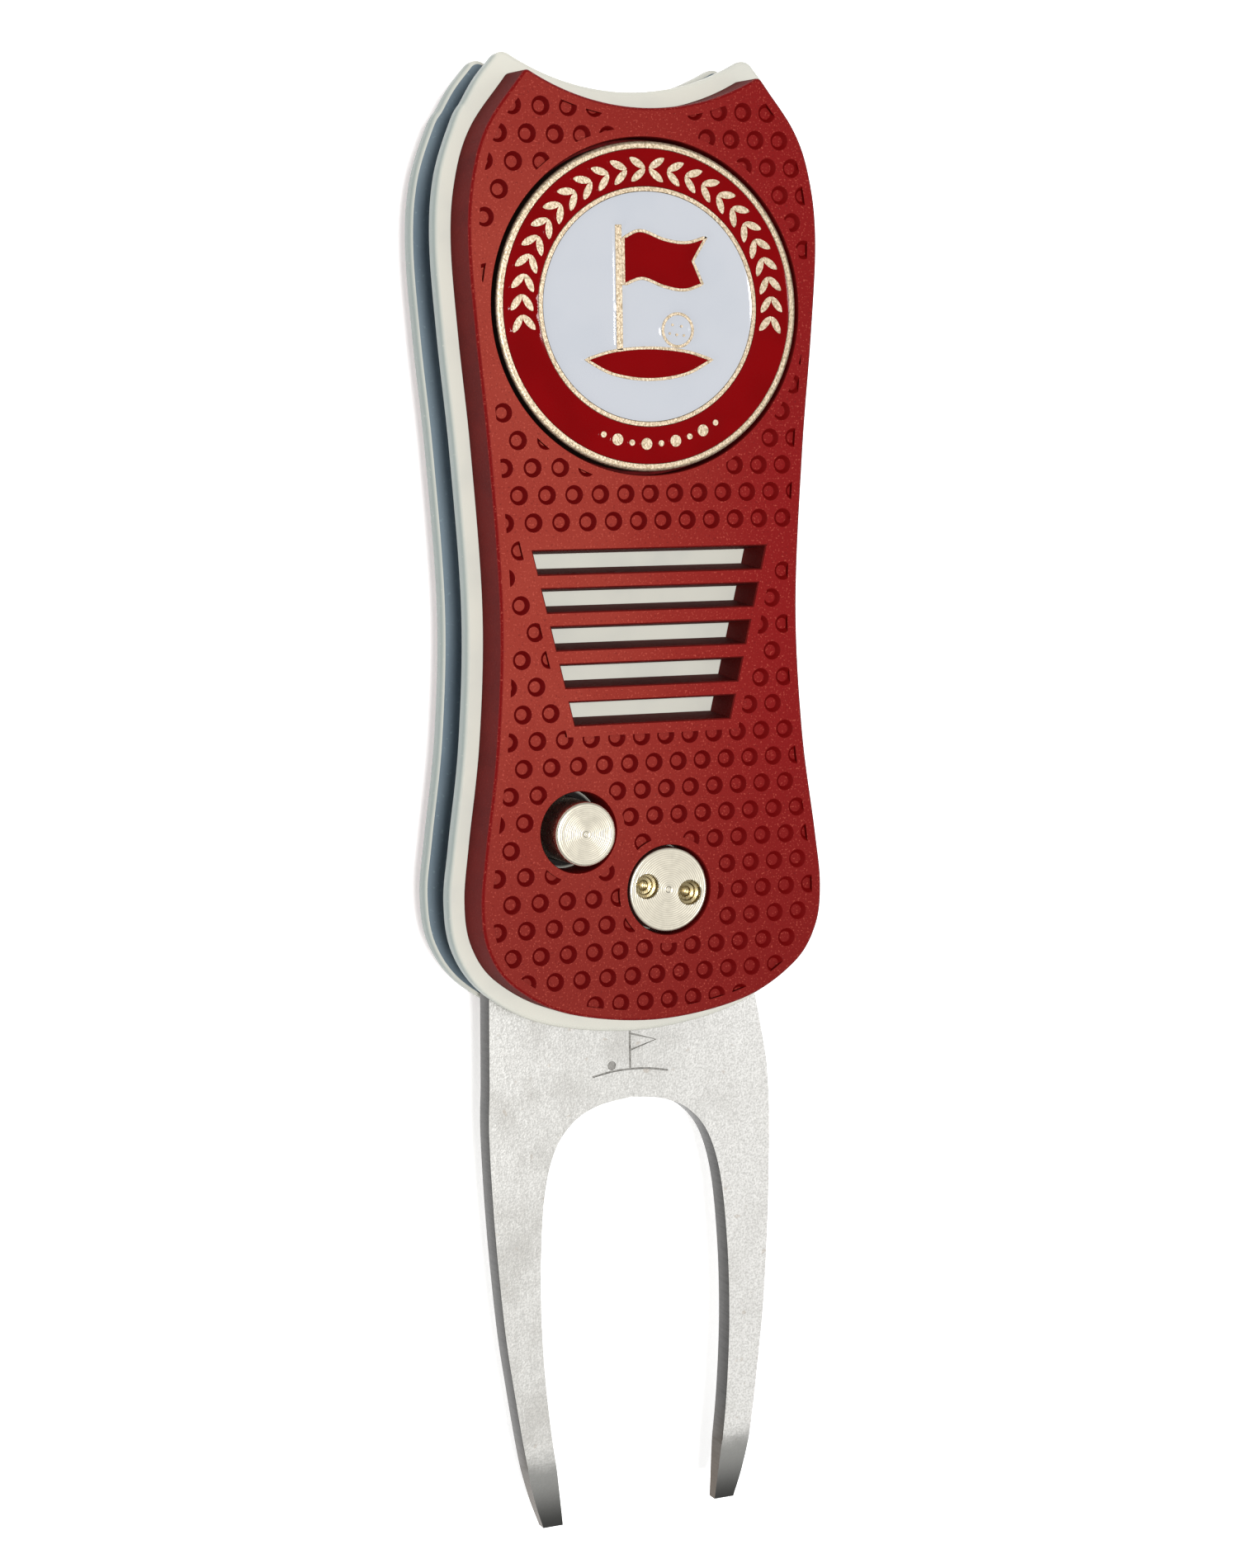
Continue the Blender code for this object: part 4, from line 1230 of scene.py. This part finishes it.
def leaf(radius, angle, turn):
    """A pointed leaf outline at a place on the ring, turned from the direction round the ring."""
    ahead = polar(angle + math.pi / 2 + turn)
    across = Vector((-ahead.y, ahead.x))
    points = []
    for t in (math.tau * i / 16 for i in range(16)):
        bulge = math.copysign(abs(math.sin(t)) ** 1.25, math.sin(t))
        points.append(polar(angle) * radius + ahead * math.cos(t) * LEAF_LENGTH - across * bulge * LEAF_WIDTH)
    return points


def spaced_angles(start, end, count):
    return [math.radians(start + (end - start) * i / (count - 1)) for i in range(count)]


def ring_motifs():
    """Raised motifs round the coin's crimson ring: leaf pairs over the top, and a row of beads below."""
    shapes = []
    for angle in spaced_angles(WREATH_START, WREATH_END, WREATH_COUNT):
        for radius, turn in WREATH_ROWS:
            shapes.append(leaf(radius, angle, turn if angle > math.pi / 2 else math.pi - turn))
    for i, angle in enumerate(spaced_angles(BEAD_START, BEAD_END, BEAD_COUNT)):
        shapes.append(circle(polar(angle) * BEAD_RING, BEAD_RADII[i % 2], 16)[::-1])
    return shapes


def enamel_disc(name, inner, outer, outlines, rounds, spokes):
    """A poured enamel surface between two radii, which creeps up the metal round it. Each outline has the
    half width of the raised line along it, or 0 where the whole shape is raised."""
    angles = np.arange(spokes) * math.tau / spokes
    radii = np.linspace(outer, inner, rounds)[:, None]
    grid = np.stack([radii * np.cos(angles), radii * np.sin(angles)], axis=2).reshape(-1, 2)
    from_middle = np.hypot(grid[:, 0], grid[:, 1])
    gap = np.abs(outer - from_middle)
    if inner > FIELD_MIDDLE:
        gap = np.minimum(gap, from_middle - inner)
    for outline, half in outlines:
        room = distance_inside(grid, outline)
        gap = np.minimum(gap, np.maximum(np.abs(room) - half if half else -room, 0.0))
    height = ENAMEL_LEVEL + ENAMEL_RISE * np.exp(-np.maximum(gap, 0.0) / MENISCUS)
    z_low = COIN_FLOOR + METAL_BREAK
    vertices = [(x, y, z) for (x, y), z in zip(grid, height)]
    faces = []
    for row in range(rounds - 1):
        faces += band(row * spokes, (row + 1) * spokes, spokes)
    inside, base = (rounds - 1) * spokes, rounds * spokes
    vertices += at_height(circle(MARKER, outer, spokes), z_low)
    faces += band(base, 0, spokes)
    if inner > FIELD_MIDDLE:
        vertices += at_height(circle(MARKER, inner, spokes), z_low)
        faces += band(base + spokes, base, spokes) + band(inside, base + spokes, spokes)
    else:
        faces += [list(range(inside, base)), list(range(base, base + spokes))]
    return raw_object(name, vertices, faces)


def make_coin():
    low, top, floor, edge = Z_COIN_LOW, COIN_TOP, COIN_FLOOR, METAL_BREAK
    profile = [
        (0.0, low + CHAMFER), (10.5, low + CHAMFER), (10.8, low), (MARKER_RADIUS - 0.2, low),
        (MARKER_RADIUS, low + 0.2), (MARKER_RADIUS, top - 0.22), (MARKER_RADIUS - 0.03, top - 0.12),
        (MARKER_RADIUS - 0.1, top - 0.04), (MARKER_RADIUS - 0.22, top), (RIM_INNER + edge, top),
        (RIM_INNER, top - edge), (RIM_INNER, floor), (RING_INNER, floor), (RING_INNER, top - edge),
        (RING_INNER - edge, top), (FIELD_RADIUS + edge, top), (FIELD_RADIUS, top - edge),
        (FIELD_RADIUS, floor), (0.0, floor),
    ]
    coin = turned("marker_coin_skin", profile, MARKER, 180)

    # The coin's side down in the recess takes the painted shade.
    def choose(centre, normal):
        return 1 if centre.z < top - 0.25 and math.hypot(centre.x, centre.y) > RIM_INNER + 0.5 else 0

    dress(coin, "marker", (NICKEL, NICKEL_SHADED_SIDE), ("marker_blank",), choose, 35.0)


def make_emblem():
    """The coin's raised lines: a pennant, a mound and a ball, with a solid pole and the ball's dimples."""
    lines = [ridge(shape, LINE_HALF, COIN_FLOOR, COIN_TOP) for shape in (FLAG, MOUND, BALL)]
    pole = [
        at_height(POLE, COIN_FLOOR), at_height(POLE, COIN_TOP - METAL_BREAK),
        at_height(shrunk(POLE, METAL_BREAK), COIN_TOP),
    ]
    solids = [pole]
    for spot in BALL_DIMPLES:
        levels = ((0.13, COIN_FLOOR), (0.1, COIN_TOP - 0.06))
        solids.append([at_height(circle(spot, size, 12)[::-1], z) for size, z in levels])
    emblem = many_solids("marker_emblem_lines", solids, lines)
    dress(emblem, "marker", (NICKEL,), angle=35.0)


def make_marker():
    make_coin()
    make_emblem()
    motifs = ring_motifs()
    solids = []
    for shape in motifs:
        top = at_height(shrunk(shape, RIDGE_EDGE), COIN_TOP - 0.01)
        solids.append([at_height(shape, COIN_FLOOR), at_height(shape, COIN_TOP - 0.08), top])
    relief = many_solids("marker_ring_relief", solids)
    dress(relief, "marker", (NICKEL,), angle=35.0)
    inner, outer = RING_INNER + ENAMEL_GAP, RIM_INNER - ENAMEL_GAP
    ring = enamel_disc("marker_ring_enamel_skin", inner, outer, [(shape, 0.0) for shape in motifs], 22, 720)
    dress(ring, "marker", (CRIMSON,), ("marker_ring_enamel",), angle=60.0)
    outlines = [(FLAG, LINE_HALF), (MOUND, LINE_HALF), (BALL, LINE_HALF), (POLE, 0.0)]
    outer = FIELD_RADIUS - ENAMEL_GAP
    field = enamel_disc("marker_field_enamel_skin", FIELD_MIDDLE, outer, outlines, 90, 300)

    def choose(centre, normal):
        spot = np.array([[centre.x, centre.y]])
        filled = max(distance_inside(spot, shape)[0] for shape in (FLAG, MOUND)) > 0.0
        return 1 if filled and normal.z >= 0.3 else 0

    dress(field, "marker", (PORCELAIN, CRIMSON), ("marker_field_enamel",), choose, 60.0)


# ---------------------------------------------------------------- the whole object


def repaint(node, finish):
    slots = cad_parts[node].data.materials
    for index in range(len(slots)):
        slots[index] = finish
    if not slots:
        slots.append(finish)


def make_floor():
    """A pale floor that glows a little: painted light that keeps it white where shadows would fall."""
    corners = box_outline(0.0, 0.0, FLOOR_SIZE, FLOOR_SIZE)
    floor = raw_object("floor", at_height(corners, FLOOR_Z), [(0, 1, 2, 3)])
    finish = Finish("pale_floor", (240.6, 240.6, 240.6), 0.8, specular=0.1)
    finish.clouds(60.0, 0.4, 0.7, (236.8, 236.8, 236.8), 0.3, detail=2.0)
    # Painted light: the floor's glow fills in the shadows on it.
    finish.shader.inputs["Emission Color"].default_value = (1.0, 1.0, 1.0, 1.0)
    finish.shader.inputs["Emission Strength"].default_value = FLOOR_GLOW
    floor.data.materials.append(finish.material)


def make_light():
    """A soft surround that is brightest over the right, and a soft light from above."""
    world = bpy.data.worlds.new("studio")
    world.use_nodes = True
    bpy.context.scene.world = world
    tree = world.node_tree
    where = add_node(tree, "ShaderNodeTexCoord").outputs["Generated"]
    towards = add_node(tree, "ShaderNodeVectorMath", {0: where, 1: BRIGHT_SIDE}, operation="DOT_PRODUCT")
    inputs = {"Value": towards.outputs["Value"], **SURROUND}
    strength = add_node(tree, "ShaderNodeMapRange", inputs, interpolation_type="SMOOTHSTEP")
    back = tree.nodes["Background"]
    back.inputs["Color"].default_value = (1.0, 0.995, 0.985, 1.0)
    tree.links.new(strength.outputs[0], back.inputs["Strength"])
    light = bpy.data.lights.new("key_light", "AREA")
    light.shape = "DISK"
    light.size = KEY_LIGHT_SIZE
    light.energy = KEY_LIGHT_POWER
    lamp = bpy.data.objects.new("key_light", light)
    lamp.location = KEY_LIGHT_AT
    aim = Vector(KEY_LIGHT_TOWARDS) - Vector(KEY_LIGHT_AT)
    lamp.rotation_euler = aim.to_track_quat("-Z", "Y").to_euler()
    bpy.context.scene.collection.objects.link(lamp)


def make_camera():
    data = bpy.data.cameras.new("camera")
    data.lens = CAMERA_LENS
    data.sensor_width = 36.0
    data.clip_start = 0.01
    camera = bpy.data.objects.new("camera", data)
    back = Vector(CAMERA_BACK).normalized()
    right = Vector(CAMERA_UP).cross(back).normalized()
    turn = Matrix((right, back.cross(right), back)).transposed()
    camera.matrix_world = Matrix.Translation(Vector(CAMERA_AT) * MM) @ turn.to_4x4()
    bpy.context.scene.collection.objects.link(camera)
    bpy.context.scene.camera = camera


HIDDEN_PIECES = (
    ("front_washer", "bronze_washer_front", (190, 150, 98), 0.35),
    ("rear_washer", "bronze_washer_rear", (184, 144, 92), 0.38),
    ("drive_spring", "spring_steel_drive", (150, 150, 152), 0.3),
    ("lock_spring", "spring_steel_lock", (158, 158, 160), 0.3),
    ("stop_pin", "ground_pin", (200, 198, 190), 0.25),
    ("marker_magnet", "magnet_black", (62, 62, 66), 0.45),
)

make_camera()
make_floor()
make_light()
make_front_grip()
make_rear_grip()
make_plate("front_plate", Z_PLATE_FRONT, FRONT_HOLES, WHITE_FRONT)
make_plate("rear_plate", Z_PLATE_REAR, REAR_HOLES, WHITE)
make_fork()
make_pivot_screw()
make_lock_button()
make_pivot_barrel()
make_spring_plug()
for index, spot in enumerate(FRAME_SCREWS, 1):
    make_frame_screw(index, spot)
make_marker()
repaint("spine", spacer_grey("spacer_grey"))
for node, name, colour, roughness in HIDDEN_PIECES:
    repaint(node, small_metal(name, colour, roughness))

bpy.context.scene.view_settings.view_transform = "Standard"
